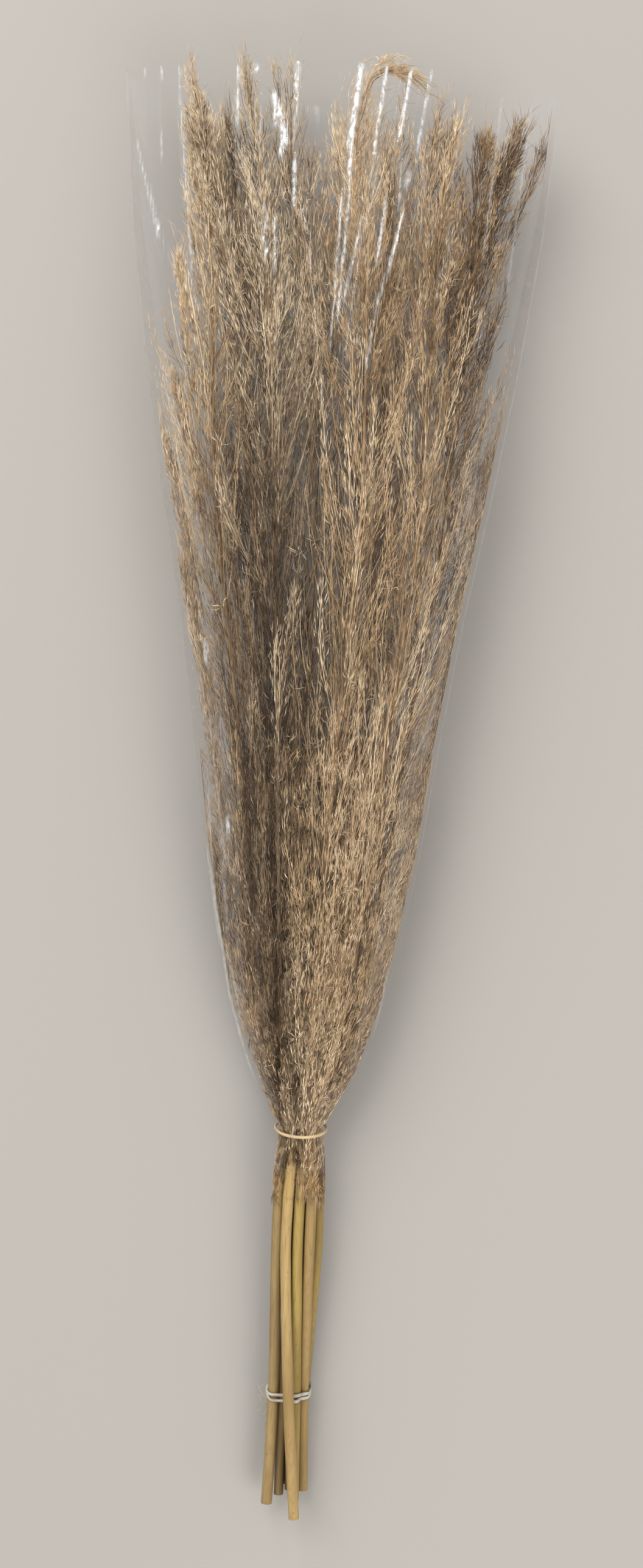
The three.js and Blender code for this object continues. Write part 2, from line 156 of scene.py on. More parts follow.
def evenly(fine, count, ends=True):
    """count places at equal distances along the line through fine, with its last place or without it."""
    run = np.concatenate([[0], np.cumsum(np.linalg.norm(np.diff(fine, axis=0), axis=1))])
    even = np.linspace(0, run[-1], count, endpoint=ends)
    return np.stack([np.interp(even, run, fine[:, axis]) for axis in range(3)], 1)


def smooth_line(points, steps):
    """steps + 1 evenly spaced places on the curve through the points: between two of them it is half of
    2b + (c - a) t + (2a - 5b + 4c - d) t squared + (3b - a - 3c + d) t cubed, with mirrored end points."""
    p = np.array(points, float)
    p = np.vstack([2 * p[0] - p[1], p, 2 * p[-1] - p[-2]])
    spans = len(p) - 3
    u = np.linspace(0, spans, 60 * spans + 1)
    i = np.minimum(u.astype(int), spans - 1)
    t = (u - i)[:, None]
    a, b, c, d = p[i], p[i + 1], p[i + 2], p[i + 3]
    fine = (2 * b + (c - a) * t + (2 * a - 5 * b + 4 * c - d) * t**2 + (3 * b - a - 3 * c + d) * t**3) / 2
    return evenly(fine, steps + 1)


def lifted(rows):
    """Rows of x, y and height over the middle line, as places over the floor."""
    p = np.array(rows, float)
    p[:, 2] += middle_at(p[:, 1])
    return p


print("middle line at the neck:", middle_at(NECK_BAND_Y))

# %% [markdown]
# ## From arrays to pieces
# Two forms make nearly everything. `skin` closes a tube from a grid of rings, with a fan over each end.
# `strands` makes thousands of thin closed spindles at once, because a hair, a floret or a branch is the same
# form: a line with a small ring round each of its places and a point at both ends.


# %% Skins and the piece maker
def walls(rows, sides, closed=False, flip=False):
    """Triangles between rows of rings, each quad cut in two; closed joins the last row to the first one, and
    flip turns the triangles round."""
    k, a = np.meshgrid(np.arange(rows if closed else rows - 1), np.arange(sides), indexing="ij")
    b = (a + 1) % sides
    low, high = k * sides, (k + 1) % rows * sides
    corners = [low + a, high + a, low + b, low + b, high + a, high + b]
    if flip:
        corners = [low + a, low + b, high + a, low + b, high + b, high + a]
    return np.stack(corners, -1).reshape(-1, 3)


def skin(rings):
    """Points and triangles of a closed tube over rings (rows, sides, 3), ended by a fan to each middle. The
    two middles are its last points."""
    rows, sides = rings.shape[:2]
    points = np.vstack([rings.reshape(-1, 3), rings[0].mean(0), rings[-1].mean(0)])
    a = np.arange(sides)
    b = (a + 1) % sides
    last = (rows - 1) * sides
    first_fan = np.stack([a, b, np.full(sides, rows * sides)], -1)
    last_fan = np.stack([last + b, last + a, np.full(sides, rows * sides + 1)], -1)
    return points, np.vstack([walls(rows, sides), first_fan, last_fan])


def strands(lines, radii, sides=3):
    """Points and triangles of many closed strands along lines (count, places, 3), with radii (count, places).
    A ring stands round each inner place: radius times the direction at each angle from side towards up."""
    count, places = lines.shape[:2]
    side, up = across(unit(np.gradient(lines, axis=1)))
    angle = 2 * np.pi * (np.arange(sides) + 0.5) / sides
    ring = turned(angle, side[:, 1:-1, None], up[:, 1:-1, None])
    rings = lines[:, 1:-1, None] + radii[:, 1:-1, None, None] * ring
    points = np.concatenate([lines[:, :1], rings.reshape(count, -1, 3), lines[:, -1:]], 1)
    size = points.shape[1]
    a = np.arange(sides)
    b = (a + 1) % sides
    pattern = [np.stack([0 * a, 1 + a, 1 + b], -1)]
    for low in 1 + sides * np.arange(places - 3):
        pattern.append(np.stack([low + a, low + sides + a, low + b], -1))
        pattern.append(np.stack([low + b, low + sides + a, low + sides + b], -1))
    last = size - 1 - sides
    pattern.append(np.stack([last + a, 0 * a + size - 1, last + b], -1))
    faces = np.vstack(pattern)[None] + size * np.arange(count)[:, None, None]
    return points.reshape(-1, 3), faces.reshape(-1, 3)


def together(parts):
    """One mesh from several (points, faces, numbers...) parts, each part's face numbers moved past the last."""
    starts = np.cumsum([0] + [len(part[0]) for part in parts[:-1]])
    faces = np.vstack([part[1] + start for part, start in zip(parts, starts)])
    traits = [np.concatenate(numbers) for numbers in list(zip(*parts))[2:]]
    return np.vstack([part[0] for part in parts]), faces, *traits


def placed(name, data):
    """A new object with this data, put in the scene."""
    thing = bpy.data.objects.new(name, data)
    scene.collection.objects.link(thing)
    return thing


def new_piece(name, points, faces, slot, nodes, **traits):
    """A piece from places in millimetres and triangles, with its slot's material from FINISH; traits are
    numbers kept at its points."""
    mesh = bpy.data.meshes.new(name)
    mesh.vertices.add(len(points))
    mesh.vertices.foreach_set("co", (points * 0.001).astype(np.float32).ravel())
    mesh.loops.add(faces.size)
    mesh.loops.foreach_set("vertex_index", faces.astype(np.int32).ravel())
    mesh.polygons.add(len(faces))
    mesh.polygons.foreach_set("loop_start", np.arange(0, faces.size, 3, dtype=np.int32))
    mesh.polygons.foreach_set("use_smooth", np.ones(len(faces), bool))
    for trait, values in traits.items():
        layer = mesh.attributes.new(trait, "FLOAT", "POINT")
        layer.data.foreach_set("value", values.astype(np.float32))
    mesh.update(calc_edges=True)
    mesh.materials.append(FINISH[slot])
    piece = placed(name, mesh)
    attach(piece, "root")
    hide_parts(*nodes)
    print(f"{name}: {len(faces)} triangles")


# %% [markdown]
# ## Materials
# Dry plumes are matt and change tone from floret to floret, so each strand carries its own `tone` and the
# material only turns it into a colour. Stalks are satin straw with faint lines along them and small specks.
# What two materials share is a node group; the shader itself stays in each material.


# %% Helpers for node trees
def plug(tree, socket, value):
    """Joins an output to an input, or sets the input to a constant."""
    if isinstance(value, bpy.types.NodeSocket):
        tree.links.new(value, socket)
    else:
        socket.default_value = value


def add_node(tree, kind, values=None, **settings):
    """A node of one kind with its settings; values go to its inputs, by name or by number."""
    node = tree.nodes.new(kind)
    for key, setting in settings.items():
        setattr(node, key, setting)
    for key, value in (values or {}).items():
        plug(tree, node.inputs[key], value)
    return node


def new_group(name, inputs, outputs):
    """An empty node group with named sockets; each input is (name, kind, value)."""
    group = bpy.data.node_groups.new(name, "ShaderNodeTree")
    for label, kind, value in inputs:
        group.interface.new_socket(label, in_out="INPUT", socket_type=kind).default_value = value
    for label, kind in outputs:
        group.interface.new_socket(label, in_out="OUTPUT", socket_type=kind)
    return group, add_node(group, "NodeGroupInput"), add_node(group, "NodeGroupOutput")


def dress(tree, **values):
    """Sets or joins inputs of the Principled shader, each named with _ for a space."""
    shader = tree.nodes["Principled BSDF"]
    for label, value in values.items():
        plug(tree, shader.inputs[label.replace("_", " ")], value)
    return shader


def new_material(name, **values):
    """A material with one Principled shader, its constant values set on its own sockets."""
    material = bpy.data.materials.new(name)
    material.use_nodes = True
    dress(material.node_tree, **values)
    return material, material.node_tree


def toned(tree, group, **colors):
    """A group node with its colours set."""
    values = {label: (*color, 1) for label, color in colors.items()}
    return add_node(tree, "ShaderNodeGroup", values, node_tree=group).outputs


def noise_along(tree, squeeze, scale, detail=2.0):
    """Smooth noise over the object, with y multiplied by squeeze, so that below 1 it runs out in streaks."""
    places = add_node(tree, "ShaderNodeTexCoord").outputs["Object"]
    places = add_node(tree, "ShaderNodeMapping", {"Vector": places, "Scale": (1, squeeze, 1)}).outputs[0]
    values = {"Vector": places, "Scale": scale, "Detail": detail}
    return add_node(tree, "ShaderNodeTexNoise", values).outputs["Fac"]


def mixed(tree, kind, share, low, high):
    """low where share is 0 and high where it is 1, for colours (RGBA) or numbers (FLOAT)."""
    mix = add_node(tree, "ShaderNodeMix", data_type=kind)
    for socket, value in zip([s for s in mix.inputs if s.enabled], (share, low, high)):
        plug(tree, socket, value)
    return next(s for s in mix.outputs if s.enabled)


def stored(tree, trait):
    """A number that new_piece kept at the points."""
    return add_node(tree, "ShaderNodeAttribute", attribute_name=trait).outputs["Fac"]


def combined(tree, operation, first, second, clamped=False):
    """ADD or MULTIPLY of two outputs, held between 0 and 1 if clamped."""
    values = {0: first, 1: second}
    return add_node(tree, "ShaderNodeMath", values, operation=operation, use_clamp=clamped).outputs[0]


def ranged(tree, value, low, high, out_low, out_high):
    """value taken from low..high to out_low..out_high, held at both ends."""
    values = {"Value": value, "From Min": low, "From Max": high, "To Min": out_low, "To Max": out_high}
    return add_node(tree, "ShaderNodeMapRange", values).outputs["Result"]


def relief(tree, height, strength, distance):
    """A slight relief, as a normal for the shader."""
    values = {"Height": height, "Strength": strength, "Distance": distance}
    return add_node(tree, "ShaderNodeBump", values).outputs["Normal"]


# %% The colour of dry fluff
def fluff_group():
    """Colour by tone: dark to middle over its lower half, middle to light over its upper half."""
    inputs = [(label, "NodeSocketColor", (0.5, 0.5, 0.5, 1)) for label in ("Dark", "Middle", "Light")]
    group, given, out = new_group("FluffTone", inputs, [("Color", "NodeSocketColor")])
    patches = ranged(group, noise_along(group, 0.35, 28.0), 0.3, 0.7, -0.14, 0.14)
    locks = ranged(group, noise_along(group, 0.22, 150.0), 0.34, 0.66, -0.16, 0.14)
    tone = combined(group, "ADD", combined(group, "ADD", stored(group, "tone"), patches), locks)
    lower = ranged(group, tone, 0.0, 0.5, 0.0, 1.0)
    upper = ranged(group, tone, 0.5, 1.0, 0.0, 1.0)
    color = mixed(group, "RGBA", lower, given.outputs["Dark"], given.outputs["Middle"])
    plug(group, out.inputs["Color"], mixed(group, "RGBA", upper, color, given.outputs["Light"]))
    return group


# %% The straw of the stalks
def straw_group():
    """Straw colour with fine lines along the stalk, small dark specks and slow changes of tone."""
    inputs = [("Straw", "NodeSocketColor", (0.5, 0.4, 0.2, 1)),
              ("Shade", "NodeSocketColor", (0.3, 0.2, 0.1, 1)),
              ("Cut", "NodeSocketColor", (0.7, 0.6, 0.4, 1))]
    outputs = [("Color", "NodeSocketColor"), ("Roughness", "NodeSocketFloat"), ("Height", "NodeSocketFloat")]
    group, given, out = new_group("StrawGrain", inputs, outputs)
    lines = noise_along(group, 0.02, 1500.0)
    patches = noise_along(group, 0.12, 60.0, 4.0)
    specks = ranged(group, noise_along(group, 0.6, 700.0), 0.68, 0.76, 0.0, 0.7)
    shade = given.outputs["Shade"]
    color = mixed(group, "RGBA", ranged(group, patches, 0.4, 0.66, 0.0, 0.8), given.outputs["Straw"], shade)
    color = mixed(group, "RGBA", ranged(group, lines, 0.45, 0.68, 0.0, 0.6), color, shade)
    color = mixed(group, "RGBA", specks, color, (0.1, 0.05, 0.02, 1))
    # Painted shade: a stored share darkens whole stalks that lie in shade
    color = mixed(group, "RGBA", stored(group, "dull"), color, (0.12, 0.085, 0.04, 1))
    color = mixed(group, "RGBA", stored(group, "cut"), color, given.outputs["Cut"])
    roughness = ranged(group, patches, 0.3, 0.7, 0.45, 0.65)
    for label, value in (("Color", color), ("Roughness", roughness), ("Height", lines)):
        plug(group, out.inputs[label], value)
    return group


FLUFF = fluff_group()
STRAW = straw_group()
FLUFF_ROUGHNESS = 0.85


def straw_material(name, straw, shade):
    """Satin straw with a slight relief along it."""
    material, tree = new_material(name)
    grain = toned(tree, STRAW, Straw=straw, Shade=shade)
    normal = relief(tree, grain["Height"], 0.15, 0.0004)
    dress(tree, Base_Color=grain["Color"], Roughness=grain["Roughness"], Normal=normal)
    return material


def fluff_material(name, dark, middle, light):
    """Matt dry grass in three tones, and straw where the plume's stem comes out of its stalk."""
    material, tree = new_material(name, Roughness=FLUFF_ROUGHNESS, Specular_IOR_Level=0.15)
    fluff = toned(tree, FLUFF, Dark=dark, Middle=middle, Light=light)
    color, shade = STRAW_TONES["stalk"]
    grain = toned(tree, STRAW, Straw=color, Shade=shade)
    straw = stored(tree, "straw")
    dress(tree, Base_Color=mixed(tree, "RGBA", straw, fluff["Color"], grain["Color"]),
          Roughness=mixed(tree, "FLOAT", straw, FLUFF_ROUGHNESS, grain["Roughness"]))
    return material


# Straw colour and its darker shade
STRAW_TONES = {
    "stalk": ((0.4, 0.275, 0.11), (0.22, 0.135, 0.05)),
    "stalk_green": ((0.37, 0.265, 0.078), (0.22, 0.14, 0.036)),
    "stalk_shaded": ((0.25, 0.165, 0.066), (0.14, 0.088, 0.032)),
}
# Dark, middle and light tone
FLUFF_TONES = {
    "plume_golden": ((0.17, 0.1, 0.048), (0.58, 0.4, 0.225), (0.86, 0.69, 0.47)),
    "plume_grey": ((0.065, 0.038, 0.018), (0.39, 0.275, 0.165), (0.77, 0.62, 0.43)),
    "plume_brown": ((0.095, 0.053, 0.024), (0.4, 0.27, 0.155), (0.72, 0.55, 0.36)),
}
FINISH = {slot: straw_material(slot, *tones) for slot, tones in STRAW_TONES.items()}
FINISH.update({slot: fluff_material(slot, *tones) for slot, tones in FLUFF_TONES.items()})
print("stalk and plume finishes:", [*FINISH])


# %% Film and rubber
def film_material():
    """Clear film: see-through, with a mirror that strengthens at a slant and a little haze in patches. Where
    its painted highlight is high it is painted white, and where `rim` is high it is clear."""
    white = (0.95, 0.96, 0.97, 1)
    material, tree = new_material("clear_film", Roughness=0.06, Metallic=1.0, Base_Color=white)
    fresnel = add_node(tree, "ShaderNodeFresnel", {"IOR": 1.45})
    slant = ranged(tree, fresnel.outputs["Fac"], 0.03, 0.6, 0.006, 0.085)
    haze = ranged(tree, noise_along(tree, 0.3, 16.0, 3.0), 0.3, 0.7, 0.0, 0.005)
    # Painted highlight: noise breaks the white streaks up into crumpled patches
    crumpled_glint = ranged(tree, noise_along(tree, 0.5, 420.0, 3.0), 0.4, 0.56, 0.35, 0.92)
    glint = combined(tree, "MULTIPLY", stored(tree, "glint"), crumpled_glint, True)
    shader = dress(tree, Metallic=mixed(tree, "FLOAT", glint, 1.0, 0.0))
    shown = mixed(tree, "FLOAT", stored(tree, "rim"), combined(tree, "ADD", slant, haze, True), 0.0)
    clear = add_node(tree, "ShaderNodeBsdfTransparent")
    surface = {0: mixed(tree, "FLOAT", glint, shown, 1.0), 1: clear.outputs[0], 2: shader.outputs[0]}
    mix = add_node(tree, "ShaderNodeMixShader", surface)
    plug(tree, tree.nodes["Material Output"].inputs["Surface"], mix.outputs[0])
    return material


def rubber_material(name, pale, worn):
    """Matt rubber with faint darker patches and a fine grain."""
    material, tree = new_material(name, Roughness=0.55)
    patches = ranged(tree, noise_along(tree, 1, 180.0, 3.0), 0.4, 0.7, 0.0, 1.0)
    dress(tree, Base_Color=mixed(tree, "RGBA", patches, (*pale, 1), (*worn, 1)),
          Normal=relief(tree, noise_along(tree, 1, 900.0), 0.2, 0.0003))
    return material


FINISH["clear_film"] = film_material()
for slot, tones in (("cream_rubber", ((0.55, 0.42, 0.25), (0.42, 0.3, 0.16))),
                    ("white_rubber", ((0.47, 0.445, 0.385), (0.32, 0.285, 0.23)))):
    FINISH[slot] = rubber_material(slot, *tones)
print("film and rubber ready")

# %% [markdown]
# ## The bare stalks
# A cut pampas stalk is a smooth straw cane, cut square at its end. Each one is a tube along its curve: the
# radius swells and shrinks a little along it, the cut edge is slightly rounded, and the ring at the cut and
# its middle point carry `cut`, which shows the paler pith.


# %% Stalks
STALK_SIDES, STALK_RINGS, CUT_EDGE = 24, 60, 0.5


def stalk_rings(index, radius, line):
    """Rings round the line: radius (1 + slow waves along y), with two small rings at the cut end."""
    t = unit(np.gradient(line, axis=0))
    place = np.vstack([line[0], line[0] + t[0] * CUT_EDGE * 0.3, line[0] + t[0] * CUT_EDGE, line[1:]])
    t = np.vstack([t[0], t[0], t[0], t[1:]])
    side, up = across(t)
    y = place[:, 1]
    wave = 0.025 * np.sin(y / 31 + index * 2.1) + 0.015 * np.sin(y / 11.3 + index)
    size = radius * (1 + wave)
    size[0] = radius - CUT_EDGE
    size[1] = radius - CUT_EDGE * 0.3
    angle = 2 * np.pi * np.arange(STALK_SIDES) / STALK_SIDES
    oval = 1 + 0.03 * np.cos(2 * angle + index * 1.7)
    ring = turned(angle, side[:, None], up[:, None])
    return place[:, None] + size[:, None, None] * oval[:, None] * ring


def fibre_part(seed=5, count=16, places=7):
    """Loose fibres of the dry leaf sheath that stick to the outermost stalk by the band: each goes out from the
    stalk, down along it, and curls at its end."""
    rng = np.random.default_rng(seed)
    s = np.linspace(0, 1, places)
    start = np.stack([np.full(count, -15.5), rng.uniform(-474, -452, count), rng.uniform(14, 19, count)], 1)
    turn = rng.uniform(-2.6, 0.9, count)[:, None] + rng.uniform(-1.6, 1.6, count)[:, None] * s
    step = rng.uniform(1.6, 4.2, count)[:, None]
    x = start[:, :1] - np.cumsum(step * np.abs(np.cos(turn)) * (s > 0), 1) * 0.45
    y = start[:, 1:2] + np.cumsum(step * np.sin(turn) * (s > 0), 1)
    z = start[:, 2:] + 2 * np.sin(3 * s + start[:, 1:2])
    return strands(np.stack([x, y, z], -1), np.full((count, places), 0.16))


STALK_SLOTS = ["stalk", "stalk_shaded", "stalk", "stalk_shaded", "stalk_green", "stalk_shaded", "stalk",
               "stalk_green"]
EDGE_PITH, FIBRE_PITH = 0.8, 0.7
# How far each stalk has darkened with age
# How much painted shade darkens each whole stalk, most on the stalks that lie in shade
STALK_PAINTED_SHADE = [0.35, 0.3, 0.0, 0.3, 0.1, 0.3, 0.1, 0.2]
for index, (radius, _, stalk, _) in enumerate(STEMS):
    rings = stalk_rings(index, radius, smooth_line(lifted(stalk), STALK_RINGS))
    points, faces = skin(rings)
    cut = np.zeros(len(points))
    cut[:STALK_SIDES], cut[-2] = EDGE_PITH, 1
    if index == 0:
        fibres, fibre_faces = fibre_part()
        fibre_cut = np.full(len(fibres), FIBRE_PITH)
        points, faces, cut = together([(points, faces, cut), (fibres, fibre_faces, fibre_cut)])
    dull = np.full(len(points), STALK_PAINTED_SHADE[index])
    slot = STALK_SLOTS[index]
    new_piece(f"bare_stalk_{index + 1}", points, faces, slot, [f"stalk_{index + 1}"], cut=cut, dull=dull)

# %% [markdown]
# ## How a plume grows
# A pampas plume is one stem with a great many thin branches that leave it at a slant, bow outwards and then
# follow it. Each branch is covered with long narrow florets, which give the plume its streaks. The branches
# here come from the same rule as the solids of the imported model, with more of them in between. Where a
# branch would leave the room of its own plume or press through the film, it is drawn in step by step.

# %% Rooms of the plumes
RACHIS_STEPS = 60
RACHISES = [smooth_line(lifted(plume), RACHIS_STEPS) for _, _, _, plume in STEMS]
# Millimetres left to the film by hairs, by down, by branches and at its loose sides, and how far under it the
# outside of the bundle is measured
HAIR_GAP, DOWN_GAP, BRANCH_GAP, SIDE_GAP, SKIN_GAP = 2.5, 2.0, 3.1, 2.4, 1.6
# A spot may be this many times as far from its own stem as from the next one, and so many millimetres more
MINGLE_TIMES, MINGLE_MORE = 1.5, 8
# The share of the film's width that is filled, and how much of its height is gone at its sides
SIDE_FILL, SIDE_FALL = 0.985, 0.97


def along(line, distance):
    """Place and direction at a distance along evenly spaced places, and straight on past the last."""
    step = np.linalg.norm(np.diff(line, axis=0), axis=1).mean()
    at = distance / step
    i = np.clip(at.astype(int), 0, len(line) - 2)
    run = line[i + 1] - line[i]
    return line[i] + run * (at - i)[..., None], unit(run)


def distance_to(line, spots):
    """Least distance from each spot to the line's places."""
    square = (spots**2).sum(-1)[..., None] + (line**2).sum(-1) - 2 * spots @ line.T
    return np.sqrt(np.maximum(square.min(-1), 0))


def own_room(index, spots):
    """True where a spot is not much nearer another stem than its own, as the plumes mingle at their edges."""
    far = np.stack([distance_to(line, spots) for line in RACHISES])
    return far[index] <= MINGLE_TIMES * np.delete(far, index, 0).min(0) + MINGLE_MORE


def film_room(spots, gap):
    """Half width and half height that the sleeve leaves at each spot, gap away from the film."""
    rise = spots[..., 2] - middle_at(spots[..., 1])
    y = np.minimum(MOUTH, spots[..., 1] + sleeve_at(spots[..., 1], DIP) * np.sign(rise))
    wide = SIDE_FILL * (sleeve_at(y, WIDE) - 1.5 * gap)
    share = np.clip(spots[..., 0] / wide, -1, 1) ** 2
    tall = (sleeve_at(y, DEEP) - gap) * (1 - SIDE_FALL * share) ** (0.5 + crease_at(y) / 2)
    return wide, tall, rise


def held_in(spots, gap):
    """Spots pressed inside the film: held to its half width, then to its half height and over the floor. The
    gap that is left to the film shrinks where the band squeezes the plumes."""
    gap = gap * (0.8 + 0.2 * smoothstep(spots[..., 1], -240, -150))
    wide, tall, rise = film_room(spots, gap)
    x = np.clip(spots[..., 0], -wide, wide)
    z = np.maximum(middle_at(spots[..., 1]) + np.clip(rise, -tall, tall), gap)
    return np.where((spots[..., 1] > MOUTH)[..., None], spots, np.stack([x, spots[..., 1], z], -1))


def off_film(spots):
    """Spots of a plume's branches kept off the sides of the film, which is loose there: y against millimetres
    at the left and at the right, as measured in the photograph."""
    x, y = spots[..., 0], spots[..., 1]
    left = np.interp(y, [-262, -230, -200, -160, -60, 0, 100, 250, 400], [0, 6, 10, 15, 17, 9, 7, 5, 0])
    right = np.interp(y, [-262, -200, -60, 60], [0, 3, 3, 0])
    wide, _, _ = film_room(spots, SIDE_GAP)
    return np.concatenate([np.clip(x, left - wide, wide - right)[..., None], spots[..., 1:]], -1)


print("plume stems:", [round(float(line[-1, 1])) for line in RACHISES])

# %% [markdown]
# ## Branches
# Branch k of n leaves the stem at a share of its length, the golden angle further round than the one before.
# Its bow is out (1 - (1 - s) to the 1.7), where s runs from its root to its tip.

# %% Branch lines
FIRST_ROOT, LAST_ROOT, CROWDED, TAPER_RATE = 8, 16, 1.1, 3.2
BRANCH_SHORT, BRANCH_LONG, BRANCH_PLACES, BOW, WANDER = 62, 165, 8, 1.7, 1.6
GOLDEN_TURN, DRAW_IN_STEPS, DRAW_IN = 2.39996, 8, 0.88


def branch_lines(index, line, reach, count, seed, size=1.0, least=1.0, facing=None):
    """Lines of count branches (count, places, 3) round one stem line; least below 1 lets some of them stay
    closer to the stem, by a share of the reach from least to 1, and facing keeps them all near one turn."""
    k = np.arange(count)
    share = (k + 0.5) / count
    length = np.linalg.norm(np.diff(line, axis=0), axis=1).sum()
    start = FIRST_ROOT + share**CROWDED * (length - FIRST_ROOT - LAST_ROOT)
    taper = np.minimum(1, (1 - share) * TAPER_RATE)
    young = np.minimum(1, 0.62 + 3 * share)
    long = BRANCH_SHORT + (BRANCH_LONG - BRANCH_SHORT) * np.minimum(1, (1 - share) * 2) * young
    long = long * (0.6 + 0.4 * taper) * (0.62 + 0.48 * chance(seed, k)) * size
    out = reach * (0.12 + 0.88 * taper) * (0.8 + 0.2 * chance(k, seed + 50))
    out = out * (least + (1 - least) * np.sqrt(chance(k, seed + 70)))
    turn = k * GOLDEN_TURN + seed
    if facing is not None:
        turn = facing + 1.8 * (chance(seed, k + 30) - 0.5)
    s = np.linspace(0, 1, BRANCH_PLACES)
    place, t = along(line, start[:, None] + s * long[:, None])
    side, up = across(t)
    way = turned(turn[:, None], side, up)
    bow = 1 - (1 - s) ** BOW
    for _ in range(DRAW_IN_STEPS):
        spots = held_in(place + (out[:, None] * bow)[..., None] * way, BRANCH_GAP)
        if index is not None:
            spots = off_film(spots)
            out = np.where(own_room(index, spots).all(1), out, out * DRAW_IN)
    wander = WANDER * np.sin(s * 7 + 6 * chance(k, seed + 9)[:, None])[..., None] * s[:, None]
    return spots + wander * np.cross(way, t)


# %% [markdown]
# ## Florets
# A floret is a closed three-sided spindle, a little under a millimetre thick. It leaves its branch at an angle
# and turns back along it, so that a branch looks plaited. Some are loose pale hairs that stand off further.


# %% Floret strands
# A floret's length, its radius and the share of loose ones; the share of a hair below its knee; how far up
# the longest hairs reach
FLORET_LONG, FLORET_THICK, LOOSE_SHARE = 13, 0.44, 0.16
KNEE, LAST_HAIR_Y = 0.45, 566
# Dark gaps between the plumes: x and y of one end, x and y of the other, how much darker, width
GAPS = np.array([
    [-22, -143, -13, -264, 0.45, 2.2], [-40, 125, -22, -143, 0.3, 2.6], [23, 282, 27, 150, 0.35, 2.6],
    [-4, 400, -1, 300, 0.35, 3.0], [-57, 60, -42, -90, 0.3, 2.4], [-8, 190, -14, 60, 0.25, 2.4],
    [52, 210, 48, 90, 0.25, 2.2],
])


def gap_shade(spots):
    """How much darker a hair is in the gaps between the plumes."""
    return ridges(GAPS, spots[:, 0], spots[:, 1], (-0.15, 0.1, 0.9, 1.15))


def tone_at(spots, tones):
    """Tone of a plume at a place: its low tone below y 0, its high tone above 400, darker over the left half of
    the lower bundle, where the photograph is in shade, and below the neck band."""
    x, y = spots[:, 0], spots[:, 1]
    low, high = tones
    shade = 0.2 * (1 - smoothstep(x, -20, 12)) * (1 - smoothstep(y, 150, 330)) * smoothstep(y, -262, -200)
    shade = shade + 0.32 * (1 - smoothstep(y, -275, -258))
    return low + (high - low) * smoothstep(y, 0, 400) - shade


def hair_part(base, way, bent, size, radius, tone, gap=HAIR_GAP):
    """Closed three-sided hairs: base, knee = base + KNEE size way, tip = knee + (1 - KNEE) size bent, pressed
    into the film; the root is a little darker than the tip. Returns points, faces, tone and straw."""
    knee = base + KNEE * size[:, None] * way
    strand = held_in(np.stack([base, knee, knee + (1 - KNEE) * size[:, None] * bent], 1), gap)
    points, faces = strands(strand, np.repeat(radius[:, None], 3, 1))
    tone = tone - gap_shade(base)
    tone = np.repeat(tone, 5) + np.tile([-0.05, 0, 0, 0, 0.05], len(base))
    return points, faces, tone, np.zeros(len(points))


def round_about(t, rng):
    """A random direction across each t."""
    return turned(rng.uniform(0, 2 * np.pi, len(t)), *across(t))


def outwards(spots):
    """How far out in the sleeve a place is: 0 on its middle line, 1 at the film."""
    wide, tall, rise = film_room(spots, SKIN_GAP)
    return np.maximum(np.abs(rise) / tall, np.abs(spots[:, 0]) / wide)


def outer_share(spots):
    """How likely a floret is kept: nearly all where the plumes meet the film, few deep inside the bundle,
    where nothing shows, and half of them on the underside."""
    wide, _, rise = film_room(spots, SKIN_GAP)
    keep = 0.15 + 0.85 * smoothstep(outwards(spots), 0.4, 0.8)
    edge = smoothstep(np.abs(spots[:, 0]) / wide, 0.7, 0.8)
    keep = keep * np.maximum(edge, 0.5 + 0.35 * smoothstep(spots[:, 1], -100, 260))
    return np.where(spots[:, 1] > MOUTH, 1, keep * np.where(rise < 0, 0.5, 1))


def floret_part(lines, tones, count, seed, varied):
    """Florets spread over branch lines, more of them on the outside of the bundle; s runs from a branch's root
    to its tip, where they get smaller."""
    rng = np.random.default_rng(seed)
    tries = 5 * count
    b = rng.integers(0, len(lines), tries)
    s = rng.uniform(0.02, 1, tries) ** 0.9
    at = s * (lines.shape[1] - 1)
    i = np.minimum(at.astype(int), lines.shape[1] - 2)
    run = lines[b, i + 1] - lines[b, i]
    base = lines[b, i] + run * (at - i)[:, None]
    tip = smoothstep(base[:, 1], 455, 505)
    kept = np.flatnonzero(rng.random(tries) < outer_share(base) * (1 - 0.6 * tip))[:count]
    count = len(kept)
    b, s, base, t, tip = b[kept], s[kept], base[kept], unit(run[kept]), tip[kept]
    out = round_about(t, rng)
    base = base + out * (rng.uniform(0, 3.6, count) * (1 - 0.6 * tip))[:, None]
    low = 1 - smoothstep(base[:, 1], -200, 60)
    loose = rng.random(count) < LOOSE_SHARE
    wide = rng.uniform(0.35, 1.1, count)
    close = np.abs(rng.normal(0.24, 0.17, count)) * (1 + 0.5 * low)
    tilt = np.where(loose, wide, close)
    bend = tilt * np.where(loose, rng.uniform(0.5, 1.6, count), rng.uniform(-1.0, 0.8, count))
    size = FLORET_LONG * rng.uniform(0.6, 1.25, count) * (1 - 0.35 * s) * (1 - 0.2 * low)
    tilt = tilt * (1 - 0.4 * tip)
    radius = FLORET_THICK * rng.uniform(0.7, 1.2, count) * np.where(loose, 0.45, 1)
    radius = radius * (1 - 0.4 * s) * (1 - 0.4 * tip) * (1 + 0.25 * low)
    tone = tones[b] + rng.normal(0, varied, count) + 0.1 * s + np.where(loose, 0.14, 0)
    # Painted shade: hairs deep inside the bundle are darker, less so near the neck, fading out between y 180
    # and 400
    inside = (1 - smoothstep(outwards(base), 0.6, 0.95)) * (1 - smoothstep(base[:, 1], 180, 400))
    tone = tone + 0.06 + 0.12 * smoothstep(base[:, 1], 300, 480) - (0.35 - 0.2 * low) * inside
    return hair_part(base, turned(tilt, t, out), turned(bend, t, out), size, radius, tone)


